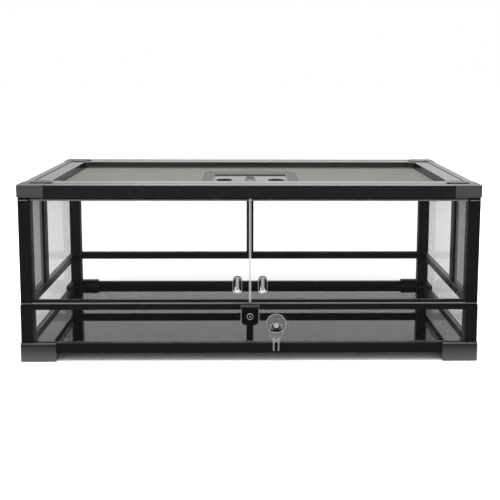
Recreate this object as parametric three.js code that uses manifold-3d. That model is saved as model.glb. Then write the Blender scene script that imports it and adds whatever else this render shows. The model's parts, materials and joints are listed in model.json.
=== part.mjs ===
// Terrarium cabinet: a wide, low glass case on four moulded corner feet. A black frame of
// grooved bars holds the panes, two glass doors hang on pin hinges at the front, and a
// lift-out screen lid with a small hatch closes the top.
//
// Millimetres, +Z up, front towards -Y, origin on the ground under the middle of the case.
import * as THREE from 'three';
import { mergeVertices } from 'three/addons/utils/BufferGeometryUtils.js';
import Module from 'manifold-3d';

// ---------------------------------------------------------------- driving sizes

const FRAME_WIDTH = 1220;
const FRAME_DEPTH = 610;
const FRAME_HEIGHT = 477;
const GAP = 0.3; // clearance between pieces that touch
const EDGE = 1.5; // rounding along the bars

// panes and the grooves that hold them
const GLASS = 5;
const PANE_SKIN = 5; // bar left outside a pane
const RAIL_SEAT = 8; // groove depth in a rail
const POST_SEAT = 6; // groove depth in a post or mullion

// base: feet, rails and floor panel
const FOOT_PROUD = 2.7;
const FOOT_ARM = 92.3;
const FOOT_HEIGHT = 50.4;
const BACK_FOOT_HEIGHT = 62;
const FOOT_COLLAR = 3; // foot wall round a post
const BASE_LIFT = 23.4;
const BASE_TOP = 51.2;
const BACK_BASE_TOP = 57.5;
const RAIL_WALL = 18;
const FLOOR_LEDGE = 10;
const FLOOR_TOP = 40;
const FLOOR_THICKNESS = 6;

// plugs and tenons that join the bars
const TENON_LENGTH = 20;
const TENON_WALL = 4;
const PLUG_DEPTH = 8;
const PLUG_WALL = 12;

// posts, belt rails and mullions
const POST_NARROW = 32;
const POST_WIDE = 38;
const BELT_BOTTOM = 142;
const BELT_HEIGHT = 26;
const WALL_BELT = [137.5, 160.5]; // underside and top of the belts at the back and sides
const BACK_MULLION = 23.5;
const SIDE_MULLION = 36;
const SIDE_MULLION_Y = -82;

// top frame
const TOP_HEIGHT = 38.7;
const TOP_SKIRT = 4.7; // height of the stop behind the doors, under the front face
const TOP_STRIP_FRONT = 30;
const TOP_STRIP_SIDE = 22;
const TOP_BLOCK_ARM = 69;
const TOP_BLOCK_PROUD = 1.2;
const TOP_BLOCK_LIFT = 6.7; // underside of a front corner block above the stop's underside

// doors
const DOOR_SILL = 157.5;
const DOOR_CLEARANCE = 0.8;
const DOOR_GAP = 3;
const DOOR_STOP = 9; // inset of the stops behind the doors
const STILE_WIDTH = 31;
const STILE_THICKNESS = 12;
const STILE_LIP = 5;
const STILE_LIP_EDGE = 0.6;
const STILE_GROOVE = 8;
const POST_LEDGE_DROP = 2; // ledge of the front post below the door sill
const PIN_RADIUS = 3;
const PIN_REACH = 6;
const HANDLE_WIDTH = 24.5;
const HANDLE_HEIGHT = 45.5;
const HANDLE_REACH = 19.2;
const HANDLE_X = 33.6;
const HANDLE_Z = 212;

// lock at the middle of the front belt rail
const LOCK_WIDTH = 45;
const LOCK_BOTTOM = 104;
const LOCK_DEPTH = 14;
const LOCK_CORNER = 13;
const LATCH_WIDTH = 52.5;
const LATCH_HEIGHT = 8.3;
const LATCH_SLOPE = 5;
const LATCH_TRAVEL = 6;
const STEM_WIDTH = 20;
const STEM_LENGTH = 18;
const STEM_THICKNESS = 5;
const CYLINDER_RADIUS = 8.6;
const CYLINDER_DEPTH = 5.5;
const CYLINDER_PROUD = 1.6;
const CYLINDER_Z = 128;
const KEYHOLE_WIDTH = 2.2;
const KEYHOLE_HEIGHT = 8;

// suction cup with a wire ring and two keys
const CUP_X = 70;
const CUP_Z = 103.4;
const CUP_RADIUS = 26.5;
const CUP_NECK = 4.5;
const CUP_DISH = 6;
const CUP_NECK_LENGTH = 6;
const CUP_KNOB = 8.2;
const CUP_KNOB_DEPTH = 5;
const WIRE_RADIUS = 0.8;
const RING_HALF_WIDTH = 17;
const RING_HALF_HEIGHT = 24.5;
const KEY_SPACING = 13;
const KEY_THICKNESS = 1.6;
const KEY_BOW = 7.6;
const KEY_HOLE = 3.4;
const KEY_SLACK = 1.4; // wire below the top of the hole, as it crosses at a slant
const KEY_BLADE_WIDTH = 5.6;
const KEY_BLADE = 23;
const KEY_TURN = 34; // degrees between each key's face and the wire's square

// side vents: framed mesh in the front bay of each side
const VENT_BORDER = 9;
const VENT_THICKNESS = 8;
const MESH_THICKNESS = 1.2;

// screen lid
const LID_HEIGHT = 22;
const LID_GROOVE = 5; // open joint round the lid
const LID_BEARING = 9; // overlap of the lid on its ledge
const LID_RAIL_FRONT = 49;
const LID_RAIL_SIDE = 43;
const LID_BEAD = 2; // bead round the mesh
const LID_BEAD_HEIGHT = 6.7;
const LID_MESH_LIFT = 2; // mesh above the lid's underside
const LID_MESH_SEAT = 6;
const MESH_COLUMNS = 12;
const MESH_ROWS = 5;
const MESH_BAR = 12;
const MESH_MARGIN = 4; // whole sheet kept inside the bead
const LID_GUSSET = 18;
const LID_GUSSET_EDGE = 2;

// hatch in the screen lid
const HATCH_HALF_WIDTH = 109;
const HATCH_FRONT = -115;
const HATCH_BACK = 35;
const HATCH_RIM_SIDE = 29;
const HATCH_RIM_BACK = 70;
const HATCH_RIM = 4; // thickness of the rim on the mesh
const HATCH_WALL = 3;
const HATCH_COLLAR_DEPTH = 9;
const HATCH_LEDGE = 4;
const HATCH_LEDGE_HEIGHT = 1.7;
const COVER_WALL = 2;
const COVER_BARREL = 2;
const COVER_PIN = 1.2;
const COVER_HEEL = 1; // rounding of the cover's lower back edge
const PORT_RADIUS = 25;
const PORT_X = 76;
const PORT_SETBACK = 97; // port centres from the cover's hinge edge
const PORT_WALL = 2;
const PORT_SLEEVE = 5.2; // sleeve below the cover's underside
const SLIDER_WIDTH = 24;
const SLIDER_THICKNESS = 2.5;
const SLIDER_TRAVEL = 3.5;
const SLIDER_SETBACK = 55;
const SLIDER_GRIP = 34;
const SLIDER_GRIP_HEIGHT = 2.5;
const CLIP_WALL = 2;
const CLIP_LENGTH = 10;
const CLIP_SETBACK = 8;

// ---------------------------------------------------------------- worked out sizes

const halfWidth = FRAME_WIDTH / 2;
const halfDepth = FRAME_DEPTH / 2;
const pane = [PANE_SKIN, PANE_SKIN + GLASS];
const slot = [PANE_SKIN - GAP, PANE_SKIN + GLASS + GAP];
const beltZ = { front: [BELT_BOTTOM, BELT_BOTTOM + BELT_HEIGHT], back: WALL_BELT, left: WALL_BELT, right: WALL_BELT };
const topBottom = FRAME_HEIGHT - TOP_HEIGHT;
const lidBottom = FRAME_HEIGHT - LID_HEIGHT;
const ledgeTop = lidBottom - GAP;
const faceBottom = topBottom + TOP_SKIRT;
const shelfFront = TOP_STRIP_FRONT + LID_GROOVE + LID_BEARING;
const shelfSide = TOP_STRIP_SIDE + LID_GROOVE + LID_BEARING;
const floorLedgeTop = FLOOR_TOP - FLOOR_THICKNESS - GAP;
const doorBottom = DOOR_SILL + DOOR_CLEARANCE;
const doorTop = faceBottom - 1.5 * DOOR_CLEARANCE;
const doorZone = STILE_THICKNESS + 0.5 * DOOR_CLEARANCE + GAP;
const hingeInset = STILE_THICKNESS / 2;
const doorPane = [hingeInset - 1 - GLASS / 2, hingeInset - 1 + GLASS / 2];
const postLedge = DOOR_SILL - POST_LEDGE_DROP;
const blockBottom = topBottom + TOP_BLOCK_LIFT;
const frontReach = halfDepth - doorPane[0] + HANDLE_REACH;
const originShift = (frontReach - (halfDepth + FOOT_PROUD)) / 2;

// ---------------------------------------------------------------- materials

const finish = (color, roughness, metalness = 0, opacity = 1) => new THREE.MeshStandardMaterial({
  color, roughness, metalness, opacity, transparent: opacity < 1,
});
const frameBlack = finish(0x201f23, 0.35, 0.3);
const blockGrey = finish(0x48474c, 0.6);
const floorBlack = finish(0x0c0c0e, 0.08);
const clearGlass = finish(0xdfeae6, 0.05, 0, 0.25);
const clearPlastic = finish(0xe8eef2, 0.12, 0, 0.45);
const meshGrey = finish(0x8d8c88, 0.6, 0.5);
const lockBlack = finish(0x17171a, 0.45);
const brightSteel = finish(0xc9cbce, 0.25, 0.9);

// ---------------------------------------------------------------- shapes and solids

const wasm = await Module();
wasm.setup();

const X_AXIS = new THREE.Vector3(1, 0, 0);
const Y_AXIS = new THREE.Vector3(0, 1, 0);
const Z_AXIS = new THREE.Vector3(0, 0, 1);
const LATHE_STEPS = 24;
const PIN_STEPS = 16;

// An outline whose corners are [u, v] or, rounded, [u, v, radius].
function outline(corners) {
  const shape = new THREE.Shape();
  corners.forEach(([u, v, radius = 0], i) => {
    const corner = new THREE.Vector2(u, v);
    const before = new THREE.Vector2(...corners.at(i - 1)).sub(corner).setLength(radius);
    const after = new THREE.Vector2(...corners[(i + 1) % corners.length]).sub(corner).setLength(radius);
    const start = corner.clone().add(before);
    const end = corner.clone().add(after);
    if (i === 0) shape.moveTo(start.x, start.y);
    else shape.lineTo(start.x, start.y);
    if (radius > 0) shape.quadraticCurveTo(corner.x, corner.y, end.x, end.y);
  });
  shape.closePath();
  return shape;
}

// A straight bar from `from` to `to` along an axis. Its outline is drawn across that axis:
// in (y, z) along x, in (x, z) along y, and in (x, y) along z.
function bar(axis, shape, from, to) {
  const geometry = new THREE.ExtrudeGeometry(shape, { depth: to - from, bevelEnabled: false, curveSegments: 4 });
  const turn = new THREE.Matrix4();
  if (axis === 'x') turn.makeBasis(Y_AXIS, Z_AXIS, X_AXIS).setPosition(from, 0, 0);
  if (axis === 'y') turn.makeBasis(X_AXIS, Z_AXIS, Y_AXIS.clone().negate()).setPosition(0, to, 0);
  if (axis === 'z') turn.setPosition(0, 0, from);
  return geometry.applyMatrix4(turn);
}

function block(xs, ys, zs) {
  const spans = [xs, ys, zs];
  const size = spans.map(([a, b]) => Math.abs(b - a));
  const middle = spans.map(([a, b]) => (a + b) / 2);
  return new THREE.BoxGeometry(...size).translate(...middle);
}

// A round bar of the given radius from one point along an axis letter.
function rod(axis, radius, from, to, across, steps = PIN_STEPS) {
  const geometry = new THREE.CylinderGeometry(radius, radius, to - from, steps);
  const middle = (from + to) / 2;
  if (axis === 'x') return geometry.rotateZ(-Math.PI / 2).translate(middle, across[0], across[1]);
  if (axis === 'y') return geometry.translate(across[0], middle, across[1]);
  return geometry.rotateX(Math.PI / 2).translate(across[0], across[1], middle);
}

function toSolid(geometry) {
  const bare = geometry.clone();
  bare.deleteAttribute('normal');
  bare.deleteAttribute('uv');
  const merged = mergeVertices(bare, 1e-4);
  return new wasm.Manifold(new wasm.Mesh({
    numProp: 3,
    vertProperties: new Float32Array(merged.attributes.position.array),
    triVerts: new Uint32Array(merged.index.array),
  }));
}

function toGeometry(solid) {
  const { vertProperties, triVerts } = solid.getMesh();
  const geometry = new THREE.BufferGeometry();
  geometry.setAttribute('position', new THREE.BufferAttribute(vertProperties, 3));
  geometry.setIndex(new THREE.BufferAttribute(triVerts, 1));
  geometry.computeVertexNormals();
  return geometry;
}

// Joins the added geometries to a body, trims it to the limits, then cuts the tools away.
function carve(body, { add = [], limit = [], cut = [] }) {
  let solid = toSolid(body);
  for (const piece of add) solid = solid.add(toSolid(piece));
  for (const piece of limit) solid = solid.intersect(toSolid(piece));
  for (const tool of cut) solid = solid.subtract(toSolid(tool));
  return toGeometry(solid);
}

// ---------------------------------------------------------------- walls and corners

// A wall's rails run along x (front, back) or y (left, right). Insets are measured inwards
// from the frame's outer face.
class Wall {
  constructor(name, run, out, half) {
    Object.assign(this, { name, run, out, half });
  }

  at(inset) {
    return this.out * (this.half - inset);
  }

  block(insets, spans, zs) {
    const across = insets.map((inset) => this.at(inset));
    return this.run === 'x' ? block(spans, across, zs) : block(across, spans, zs);
  }

  // A rail whose section has corners [inset, height, radius].
  rail(section, from, to) {
    return bar(this.run, outline(section.map(([inset, z, r]) => [this.at(inset), z, r])), from, to);
  }

  // An upright whose section has corners [inset, place along the wall, radius].
  upright(section, bottom, top) {
    const corners = section.map(([inset, s, r]) => (
      this.run === 'x' ? [s, this.at(inset), r] : [this.at(inset), s, r]));
    return bar('z', outline(corners), bottom, top);
  }
}

const walls = {
  front: new Wall('front', 'x', -1, halfDepth),
  back: new Wall('back', 'x', 1, halfDepth),
  left: new Wall('left', 'y', -1, halfWidth),
  right: new Wall('right', 'y', 1, halfWidth),
};

// A corner: u is the inset from the side wall's face, v the inset from the front or back face.
class Corner {
  constructor(depthWall, sideWall) {
    this.name = `${depthWall.name}_${sideWall.name}`;
    this.depthWall = depthWall;
    this.sideWall = sideWall;
    this.isFront = depthWall.name === 'front';
    this.postU = this.isFront ? POST_NARROW : POST_WIDE;
    this.postV = this.isFront ? POST_WIDE : POST_NARROW;
    this.footHeight = this.isFront ? FOOT_HEIGHT : BACK_FOOT_HEIGHT;
  }

  x(u) {
    return this.sideWall.at(u);
  }

  y(v) {
    return this.depthWall.at(v);
  }

  block(us, vs, zs) {
    return block(us.map((u) => this.x(u)), vs.map((v) => this.y(v)), zs);
  }

  upright(section, bottom, top) {
    return bar('z', outline(section.map(([u, v, r]) => [this.x(u), this.y(v), r])), bottom, top);
  }

  // Elevations of the corner, drawn in (u, z) or (v, z), run through the whole block.
  elevation(section, reach) {
    const low = Math.min(this.y(-reach), this.y(reach));
    return bar('y', outline(section.map(([u, z, r]) => [this.x(u), z, r])), low, low + 2 * reach);
  }

  sideElevation(section, reach) {
    const low = Math.min(this.x(-reach), this.x(reach));
    return bar('x', outline(section.map(([v, z, r]) => [this.y(v), z, r])), low, low + 2 * reach);
  }
}

const corners = ['front', 'back'].flatMap((depth) => (
  ['left', 'right'].map((side) => new Corner(walls[depth], walls[side]))));
const [frontLeft, frontRight] = corners;

// ---------------------------------------------------------------- assembly

const assembly = new THREE.Group();
assembly.position.y = originShift;

function add(parent, name, geometry, material) {
  const piece = new THREE.Mesh(geometry, material);
  piece.name = name;
  parent.add(piece);
  return piece;
}

// A group whose own origin is the axis that its pieces turn or slide on.
function pivotGroup(parent, x, y, z) {
  const group = new THREE.Group();
  group.position.set(x, y, z);
  parent.add(group);
  group.fit = (geometry) => geometry.translate(-x, -y, -z);
  return group;
}

// ---------------------------------------------------------------- base

const baseTenon = { inset: [TENON_WALL, RAIL_WALL - TENON_WALL],
  z: [BASE_LIFT + TENON_WALL, BASE_TOP - RAIL_SEAT - TENON_WALL] };
const grow = ([low, high], by) => [low - by, high + by];

function socketsFor(wall, tenon, end) {
  return [-1, 1].map((side) => {
    const span = [side * (end + GAP), side * (end - TENON_LENGTH - GAP)];
    return wall.block(grow(tenon.inset, GAP), span, grow(tenon.z, GAP));
  });
}

function foot(corner) {
  const { postU, postV, footHeight: height } = corner;
  const out = -FOOT_PROUD;
  const plan = [
    [out, out, 6], [FOOT_ARM, out, EDGE], [FOOT_ARM, RAIL_WALL], [postU + FOOT_COLLAR, RAIL_WALL],
    [postU + FOOT_COLLAR, postV + FOOT_COLLAR, EDGE], [RAIL_WALL, postV + FOOT_COLLAR],
    [RAIL_WALL, FOOT_ARM], [out, FOOT_ARM, EDGE],
  ];
  const elevation = [[out, 0, 3], [FOOT_ARM, 0, 8], [FOOT_ARM, height, 3], [out, height, 2]];
  const slotTop = height + EDGE;
  const seatU = [postU - POST_SEAT, FOOT_ARM + GAP];
  const seatV = [postV - POST_SEAT, FOOT_ARM + GAP];
  const wallTop = corner.isFront ? BASE_TOP : BACK_BASE_TOP;
  return carve(corner.upright(plan, 0, height), {
    limit: [corner.elevation(elevation, 2 * FOOT_ARM), corner.sideElevation(elevation, 2 * FOOT_ARM)],
    cut: [
      corner.block(seatU, slot, [wallTop - RAIL_SEAT, slotTop]),
      corner.block(slot, seatV, [BASE_TOP - RAIL_SEAT, slotTop]),
      corner.block(
        grow([PLUG_WALL, postU - PLUG_WALL], GAP),
        grow([PLUG_WALL, postV - PLUG_WALL], GAP),
        [height - PLUG_DEPTH - GAP, slotTop],
      ),
    ],
  });
}

// The tenons that push into the rails' ends are joined to a corner block after its shaping.
function withTenons(corner, body, tenon, arm) {
  const reach = [arm - TENON_WALL, arm + TENON_LENGTH];
  return carve(body, {
    add: [
      corner.block(reach, tenon.depthInset ?? tenon.inset, tenon.z),
      corner.block(tenon.inset, reach, tenon.z),
    ],
  });
}

for (const corner of corners) {
  add(assembly, `foot_${corner.name}`, withTenons(corner, foot(corner), baseTenon, FOOT_ARM), blockGrey);
}

function baseRail(wall) {
  const top = wall.name === 'back' ? BACK_BASE_TOP : BASE_TOP;
  const end = (wall.run === 'x' ? halfWidth : halfDepth) - FOOT_ARM - GAP;
  const section = [
    [0, BASE_LIFT, EDGE], [0, top, EDGE], [slot[0], top], [slot[0], top - RAIL_SEAT],
    [slot[1], top - RAIL_SEAT], [slot[1], top], [RAIL_WALL, top, EDGE], [RAIL_WALL, floorLedgeTop],
    [RAIL_WALL + FLOOR_LEDGE, floorLedgeTop, 1], [RAIL_WALL + FLOOR_LEDGE, BASE_LIFT, EDGE],
  ];
  return carve(wall.rail(section, -end, end), { cut: socketsFor(wall, baseTenon, end) });
}

for (const wall of Object.values(walls)) {
  add(assembly, `base_rail_${wall.name}`, baseRail(wall), frameBlack);
}

// The floor panel drops in on the rails' ledges, notched round the four feet.
function floorPanel() {
  const notch = (corner, reversed) => {
    const u = corner.postU + FOOT_COLLAR + GAP;
    const v = corner.postV + FOOT_COLLAR + GAP;
    const edge = RAIL_WALL + GAP;
    const points = [
      [corner.x(u), corner.y(edge)], [corner.x(u), corner.y(v)], [corner.x(edge), corner.y(v)],
    ];
    return reversed ? points.reverse() : points;
  };
  const [a, b, c, d] = corners;
  const around = [...notch(a, true), ...notch(b, false), ...notch(d, true), ...notch(c, false)];
  return bar('z', outline(around), FLOOR_TOP - FLOOR_THICKNESS, FLOOR_TOP);
}
add(assembly, 'floor_panel', floorPanel(), floorBlack);

// ---------------------------------------------------------------- posts

function post(corner) {
  const { postU, postV, isFront } = corner;
  const bottom = corner.footHeight + GAP;
  const top = topBottom - GAP;
  const section = [
    [0, 0, EDGE], [postU, 0, EDGE], [postU, slot[0]], [postU - POST_SEAT, slot[0]],
    [postU - POST_SEAT, slot[1]], [postU, slot[1]], [postU, postV, EDGE], [slot[1], postV],
    [slot[1], postV - POST_SEAT], [slot[0], postV - POST_SEAT], [slot[0], postV], [0, postV, EDGE],
  ];
  const plugU = [PLUG_WALL, postU - PLUG_WALL];
  const plugs = [
    corner.block(plugU, [PLUG_WALL, postV - PLUG_WALL], [bottom - PLUG_DEPTH, bottom + EDGE]),
    corner.block(plugU, topPlugV(corner), [top - EDGE, top + PLUG_DEPTH]),
  ];
  // A front post stands back behind the door's stile, and holds its lower pin on the ledge.
  const doorCuts = isFront ? [
    corner.block([-EDGE, postU + EDGE], [-EDGE, doorZone], [postLedge, top + EDGE]),
    rod('z', PIN_RADIUS + GAP, postLedge - PIN_REACH - GAP, postLedge + EDGE,
      [corner.x(hingeInset + GAP), corner.y(hingeInset)]),
  ] : [];
  return carve(carve(corner.upright(section, bottom, top), { cut: doorCuts }), { add: plugs });
}

function topPlugV(corner) {
  const start = corner.isFront ? doorZone + TENON_WALL : PLUG_WALL;
  return [start, corner.postV - PLUG_WALL];
}

for (const corner of corners) add(assembly, `post_${corner.name}`, post(corner), frameBlack);

// ---------------------------------------------------------------- belt rails and mullions

function beltSection(wall) {
  const [bottom, top] = beltZ[wall.name];
  const lower = [
    [0, bottom, EDGE], [slot[0], bottom], [slot[0], bottom + RAIL_SEAT], [slot[1], bottom + RAIL_SEAT],
    [slot[1], bottom], [RAIL_WALL, bottom, EDGE], [RAIL_WALL, top, EDGE],
  ];
  // The front belt is the doors' sill, with a stop standing up behind them.
  if (wall.name === 'front') {
    return [...lower, [DOOR_STOP, top, EDGE], [DOOR_STOP, DOOR_SILL], [0, DOOR_SILL, EDGE]];
  }
  return [
    ...lower, [slot[1], top], [slot[1], top - RAIL_SEAT], [slot[0], top - RAIL_SEAT], [slot[0], top],
    [0, top, EDGE],
  ];
}

// The stretch of a wall between its two posts.
function bay(wall) {
  if (wall.run === 'x') {
    const post = wall.name === 'front' ? POST_NARROW : POST_WIDE;
    return [-halfWidth + post, halfWidth - post];
  }
  return [-halfDepth + POST_WIDE, halfDepth - POST_NARROW];
}

for (const wall of Object.values(walls)) {
  const [from, to] = grow(bay(wall), -GAP);
  add(assembly, `belt_rail_${wall.name}`, wall.rail(beltSection(wall), from, to), frameBlack);
}

function mullion(wall, middle, width) {
  const [from, to] = [middle - width / 2, middle + width / 2];
  const section = [
    [0, from, EDGE], [slot[0], from], [slot[0], from + POST_SEAT], [slot[1], from + POST_SEAT],
    [slot[1], from], [RAIL_WALL, from, EDGE], [RAIL_WALL, to, EDGE], [slot[1], to],
    [slot[1], to - POST_SEAT], [slot[0], to - POST_SEAT], [slot[0], to], [0, to, EDGE],
  ];
  return wall.upright(section, WALL_BELT[1] + GAP, topBottom - GAP);
}

add(assembly, 'mullion_back', mullion(walls.back, 0, BACK_MULLION), frameBlack);
for (const side of ['left', 'right']) {
  add(assembly, `mullion_${side}`, mullion(walls[side], SIDE_MULLION_Y, SIDE_MULLION), frameBlack);
}

// ---------------------------------------------------------------- top frame

const topTenonZ = [topBottom + RAIL_SEAT + TENON_WALL, FRAME_HEIGHT - TENON_WALL];
const topTenon = {
  front: { inset: [TENON_WALL, TOP_STRIP_FRONT - TENON_WALL], z: topTenonZ },
  side: { inset: [TENON_WALL, TOP_STRIP_SIDE - TENON_WALL], z: topTenonZ },
};

function topBlock(corner) {
  const { postU, postV } = corner;
  const out = -TOP_BLOCK_PROUD;
  const arm = TOP_BLOCK_ARM;
  const top = FRAME_HEIGHT + TOP_BLOCK_PROUD / 2;
  const lShape = (side, front) => [
    [out, out, 4], [arm, out, EDGE], [arm, front], [side, front], [side, arm], [out, arm, EDGE],
  ];
  const elevation = [[out, topBottom, EDGE], [arm, topBottom], [arm, top], [out, top, 3]];
  const shaped = carve(corner.upright(lShape(TOP_STRIP_SIDE, TOP_STRIP_FRONT), ledgeTop - EDGE, top), {
    add: [corner.upright(lShape(shelfSide, shelfFront), topBottom, ledgeTop)],
    limit: [corner.elevation(elevation, 2 * arm), corner.sideElevation(elevation, 2 * arm)],
    cut: [
      corner.block(slot, [postV - POST_SEAT, arm + GAP], [topBottom - EDGE, topBottom + RAIL_SEAT]),
      corner.block(
        grow([PLUG_WALL, postU - PLUG_WALL], GAP),
        grow(topPlugV(corner), GAP),
        [topBottom - EDGE, topBottom + PLUG_DEPTH + GAP],
      ),
    ],
  });
  const backSlot = corner.block([postU - POST_SEAT, arm + GAP], slot, [topBottom - EDGE, topBottom + RAIL_SEAT]);
  // At the front the block clears the door's stile and holds its upper pin.
  const doorCuts = [
    corner.block([2 * out, arm + EDGE], [2 * out, DOOR_STOP], [topBottom - EDGE, blockBottom]),
    corner.block([2 * out, postU + DOOR_CLEARANCE], [2 * out, doorZone], [topBottom - EDGE, blockBottom]),
    rod('z', PIN_RADIUS + GAP, blockBottom - EDGE, blockBottom + PIN_REACH + GAP,
      [corner.x(hingeInset + GAP), corner.y(hingeInset)]),
  ];
  const finished = carve(shaped, { cut: corner.isFront ? doorCuts : [backSlot] });
  const tenon = { ...topTenon.side, depthInset: topTenon.front.inset };
  return withTenons(corner, finished, tenon, arm);
}

function topRail(wall) {
  const alongX = wall.run === 'x';
  const strip = alongX ? TOP_STRIP_FRONT : TOP_STRIP_SIDE;
  const shelf = alongX ? shelfFront : shelfSide;
  const tenon = alongX ? topTenon.front : topTenon.side;
  const end = (alongX ? halfWidth : halfDepth) - TOP_BLOCK_ARM - GAP;
  const paneSide = [
    [0, topBottom, EDGE], [slot[0], topBottom], [slot[0], topBottom + RAIL_SEAT],
    [slot[1], topBottom + RAIL_SEAT], [slot[1], topBottom],
  ];
  const doorSide = [[0, faceBottom, 1], [DOOR_STOP, faceBottom], [DOOR_STOP, topBottom, 1]];
  const section = [
    ...(wall.name === 'front' ? doorSide : paneSide), [shelf, topBottom, 1], [shelf, ledgeTop, 1],
    [strip, ledgeTop], [strip, FRAME_HEIGHT, EDGE], [0, FRAME_HEIGHT, 2],
  ];
  return carve(wall.rail(section, -end, end), { cut: socketsFor(wall, tenon, end) });
}

for (const corner of corners) add(assembly, `top_corner_${corner.name}`, topBlock(corner), blockGrey);
for (const wall of Object.values(walls)) {
  add(assembly, `top_rail_${wall.name}`, topRail(wall), frameBlack);
}

// ---------------------------------------------------------------- fixed panes

const upperPane = [WALL_BELT[1] - RAIL_SEAT + GAP, topBottom + RAIL_SEAT - GAP];
const seated = ([from, to]) => grow([from, to], POST_SEAT - GAP);

for (const wall of Object.values(walls)) {
  const bottom = (wall.name === 'back' ? BACK_BASE_TOP : BASE_TOP) - RAIL_SEAT + GAP;
  const top = beltZ[wall.name][0] + RAIL_SEAT - GAP;
  const glass = wall.block(pane, seated(bay(wall)), [bottom, top]);
  add(assembly, `lower_glass_${wall.name}`, glass, clearGlass);
}

const [backFrom, backTo] = bay(walls.back);
const backPanes = { left: [backFrom, -BACK_MULLION / 2], right: [BACK_MULLION / 2, backTo] };
for (const [side, span] of Object.entries(backPanes)) {
  const glass = walls.back.block(pane, seated(span), upperPane);
  add(assembly, `back_glass_${side}`, glass, clearGlass);
}

const [sideFrom, sideTo] = bay(walls.left);
const ventBay = [sideFrom, SIDE_MULLION_Y - SIDE_MULLION / 2];
const sideGlassBay = [SIDE_MULLION_Y + SIDE_MULLION / 2, sideTo];

// A vent is a framed mesh: its tongue sits in the same grooves as the glass beside it.
function vent(wall) {
  const middle = (pane[0] + pane[1]) / 2;
  const body = grow([middle, middle], VENT_THICKNESS / 2);
  const mesh = grow([middle, middle], MESH_THICKNESS / 2);
  const clearZ = [WALL_BELT[1], topBottom];
  const hollow = [grow(ventBay, -VENT_BORDER), grow(clearZ, -VENT_BORDER)];
  return carve(wall.block(pane, seated(ventBay), upperPane), {
    add: [wall.block(body, grow(ventBay, -GAP), grow(clearZ, -GAP))],
    cut: [
      wall.block([body[0] - EDGE, mesh[0]], ...hollow),
      wall.block([mesh[1], body[1] + EDGE], ...hollow),
    ],
  });
}

for (const side of ['left', 'right']) {
  const wall = walls[side];
  add(assembly, `side_glass_${side}`, wall.block(pane, seated(sideGlassBay), upperPane), clearGlass);
  add(assembly, `vent_${side}`, vent(wall), meshGrey);
}

// ---------------------------------------------------------------- doors

// Rings of points joined into a closed skin, with a flat cap on the first and last ring.
function loft(rings) {
  const points = rings.flat();
  const count = rings[0].length;
  const index = [];
  for (let ring = 0; ring + 1 < rings.length; ring += 1) {
    for (let i = 0; i < count; i += 1) {
      const a = ring * count + i;
      const b = ring * count + ((i + 1) % count);
      index.push(a, b, b + count, a, b + count, a + count);
    }
  }
  const last = (rings.length - 1) * count;
  for (let i = 1; i + 1 < count; i += 1) {
    index.push(0, i + 1, i, last, last + i, last + i + 1);
  }
  const geometry = new THREE.BufferGeometry();
  geometry.setAttribute('position', new THREE.Float32BufferAttribute(points.flatMap((p) => p.toArray()), 3));
  geometry.setIndex(index);
  geometry.computeVertexNormals();
  return geometry;
}

// An upright round-ended outline facing the front, at one distance out from the glass.
function stadium(width, height, y, steps = 10) {
  const radius = width / 2;
  const straight = (height - width) / 2;
  const points = [];
  for (let i = 0; i <= 2 * steps + 1; i += 1) {
    const upper = i <= steps;
    const angle = (Math.PI * (upper ? i : i - 1)) / steps;
    const z = radius * Math.sin(angle) + (upper ? straight : -straight);
    points.push(new THREE.Vector3(radius * Math.cos(angle), y, z));
  }
  return points;
}

// A clear moulded pull: a foot on the glass, a waist for the fingers and a domed head.
function handle() {
  const profile = [[0, 0], [0.06, 0], [0.2, 1.6], [0.42, 3], [0.6, 2.2], [0.74, 0.3], [0.88, 0.6], [1, 3.4]];
  const rings = profile.map(([reach, drawnIn]) => stadium(
    HANDLE_WIDTH - 2 * drawnIn,
    HANDLE_HEIGHT - 2 * drawnIn,
    -reach * (HANDLE_REACH - GAP) - GAP,
  ));
  return loft(rings);
}

function stile(corner) {
  const groove = grow(doorPane, GAP);
  const section = [];
  const turnSteps = 8;
  for (let i = 0; i <= turnSteps; i += 1) {
    const angle = Math.PI / 2 + (Math.PI * i) / turnSteps;
    section.push([hingeInset * (1 + Math.cos(angle)) + GAP, hingeInset * (1 + Math.sin(angle))]);
  }
  section.push(
    [STILE_WIDTH - STILE_LIP, 0], [STILE_WIDTH, groove[0] - STILE_LIP_EDGE], [STILE_WIDTH, groove[0]],
    [STILE_WIDTH - STILE_GROOVE, groove[0]], [STILE_WIDTH - STILE_GROOVE, groove[1]],
    [STILE_WIDTH, groove[1]], [STILE_WIDTH, STILE_THICKNESS, 1],
  );
  const axis = [corner.x(hingeInset + GAP), corner.y(hingeInset)];
  return carve(corner.upright(section, doorBottom, doorTop), {
    add: [
      rod('z', PIN_RADIUS, postLedge - PIN_REACH, doorBottom + EDGE, axis),
      rod('z', PIN_RADIUS, doorTop - EDGE, blockBottom + PIN_REACH, axis),
    ],
  });
}

for (const corner of [frontLeft, frontRight]) {
  const side = corner.sideWall.name;
  const { out } = corner.sideWall;
  const door = pivotGroup(assembly, corner.x(hingeInset + GAP), corner.y(hingeInset), doorBottom);
  const glassSpan = [corner.x(STILE_WIDTH - STILE_GROOVE + GAP), (out * DOOR_GAP) / 2];
  const glass = walls.front.block(doorPane, glassSpan, [doorBottom, doorTop]);
  const pull = handle().translate(out * HANDLE_X, walls.front.at(doorPane[0]), HANDLE_Z);
  add(door, `door_stile_${side}`, door.fit(stile(corner)), frameBlack);
  add(door, `door_glass_${side}`, door.fit(glass), clearGlass);
  add(door, `door_handle_${side}`, door.fit(pull), clearPlastic);
}

// ---------------------------------------------------------------- lock

const lockBack = walls.front.at(-GAP);
const lockFront = lockBack - LOCK_DEPTH;
const latchBottom = doorBottom - GAP - LATCH_HEIGHT;
const lockTop = latchBottom - GAP;
const stemBack = lockBack - 1.1;
const stemFront = stemBack - STEM_THICKNESS;

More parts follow.
